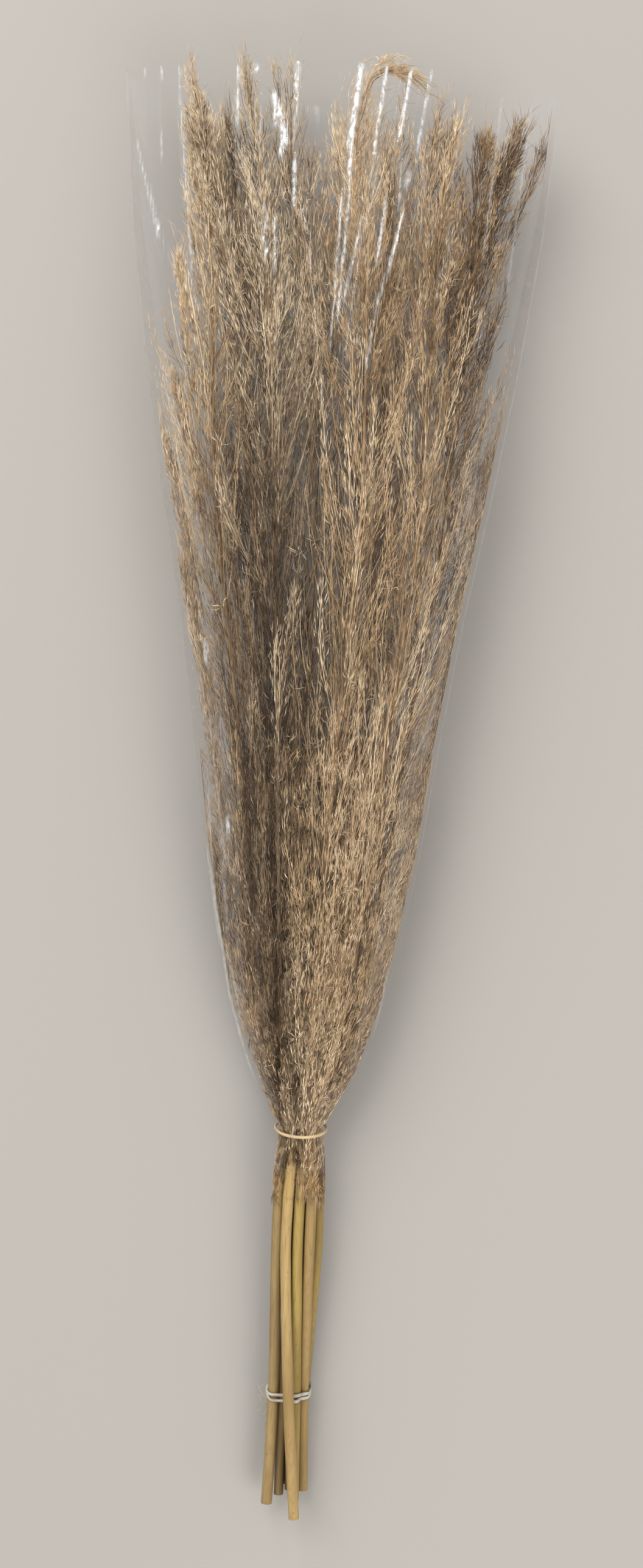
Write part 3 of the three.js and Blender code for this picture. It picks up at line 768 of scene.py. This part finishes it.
def branch_part(lines, tones):
    """The branches under their florets: radius 0.14 mm near the neck and 0.3 mm from y 0 on."""
    radius = 0.14 + 0.16 * smoothstep(lines[..., 1], -200, 0)
    points, faces = strands(lines, radius)
    tone = np.repeat(tones, len(points) // len(lines)) - gap_shade(points)
    return points, faces, tone, np.zeros(len(points))


def stem_part(line, first, last):
    """A plume's own stem, round and thinning from the first radius to the last. Its straw-coloured foot starts
    inside the stalk's end."""
    t = unit(line[1] - line[0])
    line = np.vstack([line[0] - 2 * t, line[0] - 1.5 * t, line[0], line[0] + 2 * t, line[1:]])
    radius = np.interp(line[:, 1], [-300, -230, -120, 500], [first, 0.8 * first, 1.4, last])
    radius[:3] *= (0.9, 0.9, 0.995)
    points, faces = strands(line[None], radius[None], sides=12)
    straw = 1 - smoothstep(points[:, 1], -285, -235)
    return points, faces, np.full(len(points), 0.2), straw


def down_part(line, radius, foot, tones, seed, locks=640, hairs=9):
    """Soft short hairs over the lower plume, from foot up, in small locks that share a place, a direction and a
    tone. They start at a distance from the stem that grows with the plume. Most point up, the lowest hang down
    over the stalk."""
    rng = np.random.default_rng(seed)
    run = foot + rng.uniform(0, 1, locks) ** 1.3 * (330 - foot)
    centre, t = along(line, run)
    out = round_about(t, rng)
    spread = (0.4 + 0.15 * np.maximum(run - 48, 0)) * np.sqrt(rng.uniform(0.1, 1, locks))
    base = centre + out * (radius * 0.95 + spread)[:, None]
    down = rng.random(locks) < np.where(run < foot + 8, 0.4, 0.04)
    tilt = np.where(down, rng.uniform(2.5, 3.1, locks), np.abs(rng.normal(0.3, 0.35, locks)))
    aside = unit(out + 1.1 * rng.normal(size=(locks, 3)))
    tone = tone_at(base, tones) + 0.06 + rng.normal(0, 0.08, locks)
    size = rng.uniform(9, 16, locks)
    t, aside, base = (np.repeat(a, hairs, 0) for a in (t, aside, base))
    tilt, tone, size = (np.repeat(a, hairs) for a in (tilt, tone, size))
    count = locks * hairs
    apart = 0.7 + 2.5 * smoothstep(base[:, 1], -250, -100)
    base = base + rng.normal(0, 1, (count, 3)) * apart[:, None]
    tilt = tilt + rng.normal(0, 0.12, count)
    bend = tilt + rng.normal(0, 0.3, count)
    tone = tone + rng.normal(0, 0.04, count)
    size = size * rng.uniform(0.6, 1.1, count)
    strand = turned(tilt, t, aside), turned(bend, t, aside)
    return hair_part(base, *strand, size, rng.uniform(0.16, 0.28, count), tone, DOWN_GAP)


def tuft_part(lines, seed, tufts=44, hairs=7):
    """Small pale tufts: hairs that fan out from one place on a branch."""
    rng = np.random.default_rng(seed)
    b = np.repeat(rng.integers(0, len(lines), tufts), hairs)
    i = np.repeat(rng.integers(3, lines.shape[1] - 2, tufts), hairs)
    t = unit(lines[b, i + 1] - lines[b, i])
    base = lines[b, i] + rng.normal(0, 0.8, (len(b), 3))
    way = unit(t * 0.6 + 0.8 * rng.normal(size=(len(b), 3)))
    bent = unit(way + 0.5 * rng.normal(size=(len(b), 3)))
    count = tufts * hairs
    return hair_part(base, way, bent, rng.uniform(7, 13, count), np.full(count, 0.26),
                     0.95 + rng.normal(0, 0.1, count))


def wisp_part(ends, ways, tone, seed, count=20):
    """Long fine hairs past the ends of a plume and its sprays, spread a little about their directions."""
    rng = np.random.default_rng(seed)
    end, way = np.repeat(ends, count, 0), np.repeat(ways, count, 0)
    base = end - way * rng.uniform(0, 38, len(end))[:, None] + rng.normal(0, 1.6, end.shape)
    first = unit(way + 0.2 * rng.normal(size=end.shape))
    last = unit(first + 0.35 * rng.normal(size=end.shape))
    size = rng.uniform(16, 34, len(end))
    over = base[:, 1] + size - LAST_HAIR_Y
    size = np.where(over > 0, np.maximum(size - over, 6), size)
    return hair_part(base, first, last, size, rng.uniform(0.18, 0.28, len(end)), np.full(len(end), tone))


# %% [markdown]
# ## Sprays beside the plumes
# Thin side sprays stand apart from the mass: some beside the plume tips, some that lean on the film at the
# sides, and a dark one low at the left. Each is a short stem line with small branches of its own.

# %% Side sprays
# Plume, counted from 0: its sprays, as stem points, reach, branches and change of tone
SPRAYS = {
    1: [([[-70, 330, 4], [-84, 400, 4], [-97, 455, 2], [-106, 500, 0]], 16, 30, 0.1)],
    2: [([[-40, 300, 14], [-52, 380, 12], [-62, 450, 8], [-72, 525, 4]], 16, 30, 0.05)],
    3: [([[-8, 240, 12], [-14, 320, 12], [-20, 400, 8], [-22, 462, 4]], 24, 50, 0.05),
        ([[-20, 330, 16], [-30, 400, 14], [-36, 450, 10], [-38, 522, 4]], 12, 24, 0.05)],
    4: [([[14, 300, 18], [18, 380, 18], [22, 440, 14], [27, 492, 10]], 14, 26, 0.05),
        ([[36, 290, 14], [38, 370, 14], [40, 430, 10], [44, 492, 6]], 20, 40, 0.0),
        ([[2, 300, 20], [-2, 380, 18], [0, 440, 12], [-4, 476, 8]], 16, 30, 0.0)],
    5: [([[48, 240, 4], [56, 330, 4], [64, 410, 4], [68, 486, 4]], 20, 44, 0.05)],
    6: [([[84, 290, 8], [94, 360, 8], [100, 425, 5], [108, 484, 2]], 15, 34, -0.4),
        ([[60, 300, 16], [62, 380, 14], [66, 440, 10], [72, 500, 6]], 14, 26, 0.0)],
    0: [([[-34, -200, 2], [-52, -130, 4], [-66, -75, 3], [-75, -42, 2]], 13, 30, -0.3),
        ([[-84, 105, 6], [-99, 172, 5], [-114, 222, 3], [-124, 252, 2]], 5, 8, 0.0),
        ([[-86, 160, 8], [-97, 215, 7], [-108, 262, 4], [-115, 292, 2]], 5, 8, 0.0),
        ([[-93, 236, 8], [-101, 296, 6], [-110, 345, 4], [-116, 386, 2]], 3, 6, 0.0),
        ([[-70, 20, 6], [-84, 80, 5], [-96, 124, 3], [-104, 160, 2]], 7, 12, 0.0)],
    7: [([[106, 330, -2], [123, 395, -2], [139, 440, -3], [151, 476, -3]], 5, 9, -0.1),
        ([[108, 360, -8], [113, 410, -8], [121, 455, -6], [133, 492, -4]], 9, 22, -0.05),
        ([[84, 90, -4], [97, 150, -4], [108, 200, -4], [117, 246, -4]], 8, 14, 0.0)],
}


def spray_lines(points, reach, count, seed):
    """Short branch lines round a spray's stem, and the stem itself as the last line."""
    line = smooth_line(lifted(points), BRANCH_PLACES - 1)
    return np.vstack([branch_lines(None, line, reach, count, seed, 0.42), line[None]])


# %% Plumes
PLUME_SLOTS = ["plume_golden", "plume_grey", "plume_grey", "plume_grey", "plume_golden", "plume_brown",
               "plume_golden", "plume_brown"]
# Where the fluff of each plume starts, over the end of its stalk
FLUFF_FOOT = [2, 6, 33, 8, 5, 10, 4, 0]
# Low and high tone of each plume
PLUME_TONES = [(0.42, 0.52), (0.34, 0.52), (0.36, 0.54), (0.34, 0.52), (0.58, 0.38), (0.46, 0.46), (0.62, 0.38),
               (0.56, 0.18)]
# How much the tone varies from floret to floret
VARIED_TONE = {"plume_golden": 0.08, "plume_grey": 0.17, "plume_brown": 0.14}
PACKED_BRANCHES, FILL_BRANCHES, SIDE_BRANCHES, FLORETS = 66, 184, 50, 10000
REACH_TIMES, SIDE_REACH_TIMES, STEM_TIP = 1.3, 1.7, 0.8
# The two outermost plumes, counted from 0, and the turn towards their free side
OUTER_SIDE = {0: np.pi, 7: 0.0}
FILL_SEED, SIDE_SEED, SPRAY_SEED, FLORET_SEED, DOWN_SEED, TUFT_SEED, WISP_SEED = 20, 40, 60, 100, 200, 300, 400


def plume_lines(index, line, reach):
    """All branch lines of a plume, and each one's change of tone."""
    far = reach * REACH_TIMES
    sets = [(branch_lines(index, line, far, PACKED_BRANCHES, index), 0.0),
            (branch_lines(index, line, far, FILL_BRANCHES, index + FILL_SEED, 0.85, 0.1), 0.0)]
    if index in OUTER_SIDE:
        side = branch_lines(index, line, reach * SIDE_REACH_TIMES, SIDE_BRANCHES, index + SIDE_SEED, 0.8, 0.5,
                            OUTER_SIDE[index])
        sets.append((side, 0.0))
    for k, (points, spread, count, shift) in enumerate(SPRAYS.get(index, [])):
        sets.append((spray_lines(points, spread, count, SPRAY_SEED + 10 * index + k), shift))
    return np.vstack([lines for lines, _ in sets]), np.concatenate([np.full(len(a), b) for a, b in sets])


def plume_ends(index, line):
    """The ends of a plume's stem and of its sprays, and the direction of each."""
    stems = [line] + [smooth_line(lifted(spray[0]), 12) for spray in SPRAYS.get(index, [])]
    return np.array([stem[-1] for stem in stems]), np.array([unit(stem[-1] - stem[-2]) for stem in stems])


plume_triangles = 0
for index, (radius, reach, _, _) in enumerate(STEMS):
    slot = PLUME_SLOTS[index]
    line = RACHISES[index]
    lines, shift = plume_lines(index, line, reach)
    middle = lines[:, BRANCH_PLACES // 2]
    tones = tone_at(middle, PLUME_TONES[index]) + shift
    varied = 0.1 + 0.13 * smoothstep(middle[:, 1], -120, 60)
    tones = tones + varied * np.random.default_rng(index).normal(size=len(lines))
    points, faces, tone, straw = together([
        stem_part(line, radius, STEM_TIP),
        branch_part(lines, tones),
        floret_part(lines, tones, FLORETS, FLORET_SEED + index, VARIED_TONE[slot]),
        down_part(line, radius, FLUFF_FOOT[index], PLUME_TONES[index], DOWN_SEED + index),
        tuft_part(lines, TUFT_SEED + index),
        wisp_part(*plume_ends(index, line), PLUME_TONES[index][1] + 0.1, WISP_SEED + index),
    ])
    new_piece(f"pampas_plume_{index + 1}", points, faces, slot, [f"plume_{index + 1}"], tone=tone, straw=straw)
    plume_triangles += len(faces)
print("plumes in all:", plume_triangles, "triangles")

# %% [markdown]
# ## The film sleeve
# The sleeve is two flat sheets of film welded along both sides and blown open by the plumes. It is drawn as
# one closed thin wall, an outer and an inner skin joined at the mouth and at the foot. Handling has left
# sharp creases near the mouth and the band has gathered it in pleats, so each crease is a narrow ridge,
# height times e to the minus (distance / width) squared, which fades out at both its ends.

# %% Sleeve creases
# The wall's thickness, how far it lies inside the table at the sides and at the top, and its pleats
FILM_THICK, SIDE_SLACK, TOP_SLACK = 0.25, 0.5, 0.9
PLEAT_HEIGHT, PLEAT_SHIFT = 0.35, 1.3
UPPER_COLUMNS, LOWER_COLUMNS, FILM_ROWS = 270, 60, 84
# Creases of the upper side: x and y of one end, x and y of the other, height, width
CREASES = np.array([
    [-119, 500, -103, 350, 1.3, 2.6], [-146, 520, -141, 455, 1.0, 2.2], [-133, 520, -129, 445, 0.9, 2.0],
    [-151, 465, -132, 398, 1.2, 2.4], [-132, 398, -124, 372, 1.2, 2.2], [-76, 522, -72, 430, 1.5, 2.8],
    [-62, 522, -60, 490, 1.0, 2.0], [-49, 522, -48, 500, 1.0, 2.0], [-44, 500, -43, 438, 1.7, 4.5],
    [-33, 522, -32, 490, 1.0, 2.0], [-32, 442, -32, 408, 1.0, 2.2], [-48, 414, -46, 366, 1.5, 3.6],
    [12, 522, 8, 448, 1.5, 2.6], [8, 448, -3, 300, 1.1, 2.2], [30, 522, 22, 455, 1.4, 2.6],
    [48, 520, 42, 460, 1.3, 2.4], [63, 520, 54, 450, 1.4, 2.8], [46, 442, 44, 358, 1.0, 2.2],
    [-6, 286, -7, 262, 1.0, 1.8], [-92, 330, -78, 180, 0.8, 2.4], [96, 500, 88, 300, 0.7, 3.0],
    [120, 510, 112, 380, 0.8, 2.6], [70, 260, 58, 90, 0.6, 2.4], [-66, 60, -50, -90, 0.7, 2.2],
    [40, 20, 34, -120, 0.6, 2.2], [-38, -100, -28, -190, 0.8, 2.0], [30, -90, 22, -190, 0.8, 2.0],
])


def pleat_height(turn, y):
    """Pleats that run up from the band: ridges round the sleeve, the sum of two sines of the turn, that fade
    150 mm above it."""
    fold = np.sin(turn * 17 + PLEAT_SHIFT) + 0.6 * np.sin(turn * 29 + 2 * PLEAT_SHIFT + y / 60)
    return PLEAT_HEIGHT * fold * (1 - smoothstep(y, -262, -110))


# %% Sleeve skin
def sleeve_rings(inset):
    """Rings of the sleeve: x = wide e, height = deep (1 - e^2) to the (1 + crease) / 2, e from 1 to -1 on the
    upper side and back on the lower, less the inset, with the creases and pleats added to the height."""
    s = np.linspace(0, 1, FILM_ROWS)[:, None]
    y0 = FILM_FOOT + (MOUTH - FILM_FOOT) * (0.4 * s + 0.6 * smoothstep(s, 0, 1))
    upper = np.cos(np.pi * np.linspace(0, 1, UPPER_COLUMNS + 1)[:-1])
    upper = 0.5 * upper + 0.5 * np.linspace(1, -1, UPPER_COLUMNS + 1)[:-1]
    lower = -np.cos(np.pi * np.linspace(0, 1, LOWER_COLUMNS + 1)[:-1])
    e = np.concatenate([upper, lower])[None]
    sign = np.concatenate([np.ones(UPPER_COLUMNS), -np.ones(LOWER_COLUMNS)])[None]
    rise = sign * np.sqrt(1 - e**2)
    crease = crease_at(y0)
    wide = sleeve_at(y0, WIDE) - SIDE_SLACK - 2 * inset
    deep = sleeve_at(y0, DEEP) - TOP_SLACK - inset
    turn = np.arctan2(rise, e)
    x = wide * e + 0 * y0
    y = y0 - sleeve_at(y0, DIP) * rise
    folds = ridges(CREASES, x, y, (-0.1, 0.12, 0.8, 1.1), clipped=True)
    lift = np.where(sign > 0, folds, 0) - TOP_SLACK + pleat_height(turn, y0)
    edge = np.minimum(1, 6 * np.abs(rise))
    z = middle_at(y0) + deep * rise * np.abs(rise) ** crease + lift * edge * sign
    lip = 2.2 * np.sin(3 * turn + 1) + 1.3 * np.sin(7 * turn)
    y = y - (1.5 + lip) * smoothstep(y0, 470, MOUTH) * 0.6
    return np.stack([x, y, np.maximum(z, 0.15 + inset)], -1)


def sleeve_mesh():
    """Outer and inner skins of quads cut in two, the inner one turned round and both joined at the ends."""
    rings = np.concatenate([sleeve_rings(0), sleeve_rings(FILM_THICK)[::-1]])
    return rings.reshape(-1, 3), walls(*rings.shape[:2], closed=True, flip=True)


# %% [markdown]
# ## Painted highlights
# The bright streaks and small crumpled patches of light along the film's folds are painted on it in white. Each
# one is a row of a table, read as strength times e to the minus (distance / width) to the 4, so it has a soft
# edge.

# %% The sleeve with its painted highlight streaks
# Painted highlight streaks: x and y of one end, x and y of the other, half width, strength
STREAKS = np.array([
    [-72, -85, -63.5, -125, 1.2, 0.45], [-63.5, -125, -57, -161, 1.2, 0.4], [-57, -161, -46, -196, 1.1, 0.45],
    [-46, -196, -33, -231, 1.0, 0.4], [-67, -40, -60, -112, 1.4, 0.25], [-78, -10, -71, -84, 1.2, 0.3],
    [59, -140, 50, -196, 0.9, 0.35], [50, -196, 34, -231, 0.9, 0.35],
    [-145.6, 518.5, -144.6, 505.9, 0.7, 0.5], [-133.4, 517.1, -131.5, 501.4, 0.8, 0.6],
    [-131, 467.8, -129.5, 442.3, 0.7, 0.5], [-120, 517.1, -117.3, 483.5, 0.7, 0.5],
    [-117.3, 483.5, -103.2, 358.1, 0.7, 0.55], [-149.9, 461.1, -132.6, 398.4, 0.8, 0.6],
    [-132.6, 398.4, -126.8, 387.2, 1.6, 0.8], [-137.3, 425.3, -130.7, 396.2, 0.7, 0.5],
    [-130.7, 396.2, -116.8, 362.6, 0.6, 0.35], [-76.3, 517.3, -75.3, 468.7, 0.9, 0.8],
    [-75.3, 468.7, -74.3, 438.7, 0.6, 0.4], [-63.2, 517.6, -62.7, 506.4, 1.6, 0.9],
    [-58.6, 481.3, -57, 443.7, 0.7, 0.4], [-49.6, 491.6, -47.4, 470.1, 1.8, 0.9],
    [-46.5, 481.3, -40.1, 455.8, 2.2, 0.9], [-40.5, 465.6, -43.2, 443.7, 1.8, 0.85],
    [-53.4, 517.6, -47.1, 516.6, 1.2, 0.7], [-33.5, 517.3, -34, 492.5, 1.9, 0.9],
    [-34, 492.5, -32.3, 473.7, 0.8, 0.7], [-33.7, 473.7, -33.8, 455.8, 0.8, 0.6],
    [-32.9, 443.7, -32.1, 412.8, 1.1, 0.8], [-54.2, 407.8, -51, 394, 1, 0.7],
    [-51, 394, -53.6, 380.5, 1.2, 0.8], [-53.6, 380.5, -45.4, 366.2, 1.3, 0.85],
    [-45.9, 400.7, -43.7, 380.5, 0.9, 0.7], [-43.7, 380.5, -44.2, 360.4, 0.9, 0.6],
    [12.1, 511.1, 5.8, 450.1, 2, 0.95], [7.9, 452.2, 5.9, 425.3, 1.5, 0.8], [7.7, 425.3, 2.3, 328.1, 1, 0.75],
    [2, 412.8, -0.1, 353.2, 0.9, 0.7], [16.7, 400.2, 6.6, 340.7, 0.9, 0.7],
    [-0.1, 353.2, -2.1, 304.4, 0.7, 0.5], [30.8, 512.6, 23.8, 453.2, 1.3, 0.85],
    [23.6, 453.5, 22, 425.3, 0.7, 0.5], [48.1, 509.5, 41.5, 462.6, 1.3, 0.85],
    [62.8, 510.4, 54.8, 454.4, 1, 0.7], [33.3, 412.5, 28.8, 368.9, 1.1, 0.75], [46.1, 406.5, 37, 362.6, 1, 0.8],
    [37, 362.6, 30, 340.7, 0.9, 0.7], [30, 340.7, 24.2, 293.7, 0.8, 0.55], [46.3, 433.4, 49.6, 429.8, 1.5, 0.7],
    [43.4, 438.7, 43.2, 411.9, 0.7, 0.5], [-6.1, 282, -6, 268.6, 0.8, 0.5],
    [-84.1, 89.5, -82.2, 86.8, 1.4, 0.8], [-63.4, -34.6, -61.5, -37.3, 1.3, 0.7],
    [-91.8, 168.7, -90, 166.9, 1.2, 0.7], [51.5, -193.6, 53.8, -196.2, 1.2, 0.7],
    [88.2, 492.5, 79.8, 425.3, 0.7, 0.35], [114.8, 497, 106, 385, 0.8, 0.35],
    [137.2, 497, 124.8, 362.6, 0.9, 0.3], [-79.1, 44.7, -62.6, -62.8, 0.8, 0.35],
    [-77.3, -53.8, -65.4, -125.5, 0.9, 0.45], [-60.1, -125.5, -49.5, -165.8, 0.8, 0.4],
])


def glint_at(spots):
    """The strongest painted highlight streak at each place: strength e^-(distance / width)^4, the distance
    taken to the line between its two ends."""
    x, y = spots[:, 0], spots[:, 1]
    x0, y0, x1, y1, width, strength = (column[:, None] for column in STREAKS.T)
    dx, dy = x1 - x0, y1 - y0
    share = np.clip(((x - x0) * dx + (y - y0) * dy) / (dx**2 + dy**2), 0, 1)
    away = np.hypot(x - x0 - share * dx, y - y0 - share * dy)
    return (strength * np.exp(-((away / width) ** 4))).max(0)


# The rows at the mouth and foot that are clear, and the columns at the welds that carry a painted highlight,
# with how much
RIM_ROWS, RIM_CLEAR, WELD_COLUMNS, WELD_PAINTED_GLINT = 3, 0.95, 3, 0.22
points, faces = sleeve_mesh()
row = np.tile(np.repeat(np.arange(FILM_ROWS), UPPER_COLUMNS + LOWER_COLUMNS), 2).reshape(2, -1)
row[1] = row[1, ::-1]
row = row.ravel()
rim = RIM_CLEAR * ((row > FILM_ROWS - RIM_ROWS) | (row < RIM_ROWS))
column = np.arange(len(points)) % (UPPER_COLUMNS + LOWER_COLUMNS)
outer_skin = np.arange(len(points)) < len(points) // 2
front = outer_skin & (column < UPPER_COLUMNS)
glint = np.zeros(len(points))
glint[front] = glint_at(points[front])
weld = outer_skin & (np.minimum(column, np.abs(column - UPPER_COLUMNS)) < WELD_COLUMNS)
glint[weld] = np.maximum(glint[weld], WELD_PAINTED_GLINT)
new_piece("clear_sleeve", points, faces, "clear_film", ["film_sleeve"], rim=rim, glint=glint)

# %% [markdown]
# ## The rubber bands
# A stretched rubber band lies in a tight loop round what it holds. Its cross-section is nearly square with
# soft corners, so the ring of each section is a rounded square, and it twists slightly on its way.


# %% Band loops
# Width, thickness and twist of a strand, and how far its middle is from what it holds; the sag of the stalk
# band and the lean of its two turns
NECK_STRAND, STALK_STRAND = (2.1, 1.5, 0.25), (2.4, 1.5, 0.4)
NECK_OUT, STALK_OUT = 0.5, 1.0
BAND_SAG, TURN_LEAN, FRONT_STALK, SECTION_SIDES = 4.5, 2.1, 2, 12


def band_mesh(line, width, thick, twist):
    """A closed loop of rounded-square sections along a closed line of places (no repeated last place). A point
    of a section is at 1 / (cos^4 + sin^4)^(1/4) times half the width and thickness, and the section leans by
    twist times the sine of three turns."""
    t = unit(np.roll(line, -1, 0) - np.roll(line, 1, 0))
    out = unit(line - line.mean(0))
    out = unit(out - (out * t).sum(1, keepdims=True) * t)
    flat = np.cross(out, t)
    angle = 2 * np.pi * np.arange(SECTION_SIDES) / SECTION_SIDES
    corner = (np.abs(np.cos(angle)) ** 4 + np.abs(np.sin(angle)) ** 4) ** -0.25
    lean = twist * np.sin(np.linspace(0, 6 * np.pi, len(line), endpoint=False))[:, None]
    u = np.cos(angle) * corner * thick / 2
    v = np.sin(angle) * corner * width / 2
    a = (u * np.cos(lean) - v * np.sin(lean))[..., None]
    c = (u * np.sin(lean) + v * np.cos(lean))[..., None]
    rings = line[:, None] + a * out[:, None] + c * flat[:, None]
    return rings.reshape(-1, 3), walls(*rings.shape[:2], closed=True)


def neck_line(steps=160):
    """The loop round the gathered sleeve: the oval of SLEEVE at the band, NECK_OUT further out."""
    angle = np.linspace(0, 2 * np.pi, steps, endpoint=False)
    wide = sleeve_at(NECK_BAND_Y, WIDE) + NECK_OUT
    deep = sleeve_at(NECK_BAND_Y, DEEP) + NECK_OUT
    y = NECK_BAND_Y - sleeve_at(NECK_BAND_Y, DIP) * np.sin(angle)
    z = middle_at(NECK_BAND_Y) + deep * np.sin(angle)
    return np.stack([wide * np.cos(angle), y, z], 1)


def stalk_band_line(tilt, steps=150):
    """One turn round the stalks at STALK_BAND_Y: at each angle it lies on the stalk that stands out furthest,
    x cos + z sin + radius + STALK_OUT, and the places are then spread evenly along the loop. The front stalk
    is outside."""
    held = STEMS[:FRONT_STALK] + STEMS[FRONT_STALK + 1:]
    lines = [smooth_line(lifted(stalk), 200) for _, _, stalk, _ in held]
    place = np.array([line[np.argmax(line[:, 1] >= STALK_BAND_Y)] for line in lines])
    off = np.array([radius for radius, *_ in held]) + STALK_OUT
    angle = np.linspace(0, 2 * np.pi, 721)
    x, z = np.cos(angle), np.sin(angle)
    far = np.argmax(place[:, :1] * x + place[:, 2:] * z + off[:, None], 0)
    y = STALK_BAND_Y + (tilt - BAND_SAG) * z
    loop = np.stack([place[far, 0] + off[far] * x, y, place[far, 2] + off[far] * z], 1)
    return evenly(loop, steps, ends=False)


points, faces = band_mesh(neck_line(), *NECK_STRAND)
new_piece("neck_rubber_band", points, faces, "cream_rubber", ["neck_band"])
points, faces = together([band_mesh(stalk_band_line(tilt), *STALK_STRAND) for tilt in (TURN_LEAN, -TURN_LEAN)])
new_piece("stalk_rubber_band", points, faces, "white_rubber", ["stalk_band"])

# %% The floor, the lights and the camera
PHOTO_TILT = 0.0411
VIEW_MIDDLE = (0.00475, -0.0035)
VIEW_HEIGHT = 1.97
LENS, SENSOR_HEIGHT = 60, 36
FLOOR_HALF, FLOOR_DROP = 20, 0.0004


def new_floor():
    """A wide pale floor just under the bundle."""
    mesh = bpy.data.meshes.new("floor")
    corners = [(x * FLOOR_HALF, y * FLOOR_HALF, -FLOOR_DROP) for x, y in ((-1, -1), (1, -1), (1, 1), (-1, 1))]
    mesh.from_pydata(corners, [], [(0, 1, 2, 3)])
    mesh.materials.append(new_material("floor", Roughness=0.7, Base_Color=(0.345, 0.325, 0.3, 1))[0])
    floor = placed("floor", mesh)


def new_light(name, place, target, width, length, power, mirrored=False):
    """A soft area light at a place, facing a target, its length along Y; the film mirrors it or not."""
    light = bpy.data.lights.new(name, "AREA")
    light.shape = "RECTANGLE"
    light.size, light.size_y, light.energy = width, length, power
    lamp = placed(name, light)
    lamp.location = place
    lamp.rotation_euler = (Vector(target) - Vector(place)).to_track_quat("-Z", "Y").to_euler()
    lamp.visible_glossy = mirrored


def new_camera():
    """Looks straight down on the bundle, turned so that it leans as in the photograph."""
    camera = placed("camera", bpy.data.cameras.new("camera"))
    camera.data.sensor_fit = "VERTICAL"
    camera.data.sensor_height = SENSOR_HEIGHT
    camera.data.lens = LENS
    camera.location = (*VIEW_MIDDLE, VIEW_HEIGHT)
    camera.rotation_euler = (0, 0, PHOTO_TILT)
    scene.camera = camera


new_floor()
new_light("soft_head", (-1.7, 2.2, 2.9), (0, 0, 0), 3.0, 3.0, 160)
new_light("soft_foot", (1.6, -2.0, 2.2), (0, 0, 0), 2.0, 2.0, 66)
new_light("tube_left", (-0.62, 1.5, 2.0), (0, 0.45, 0), 0.012, 1.6, 1.6, True)
new_light("tube_right", (0.5, 1.5, 2.0), (0, 0.45, 0), 0.012, 1.6, 1.6, True)
world = bpy.data.worlds.new("studio")
world.use_nodes = True
background = world.node_tree.nodes["Background"]
background.inputs["Color"].default_value = (1, 0.985, 0.96, 1)
background.inputs["Strength"].default_value = 0.69
scene.world = world
scene.view_settings.view_transform = "Standard"
new_camera()
print("camera at", VIEW_MIDDLE, VIEW_HEIGHT)
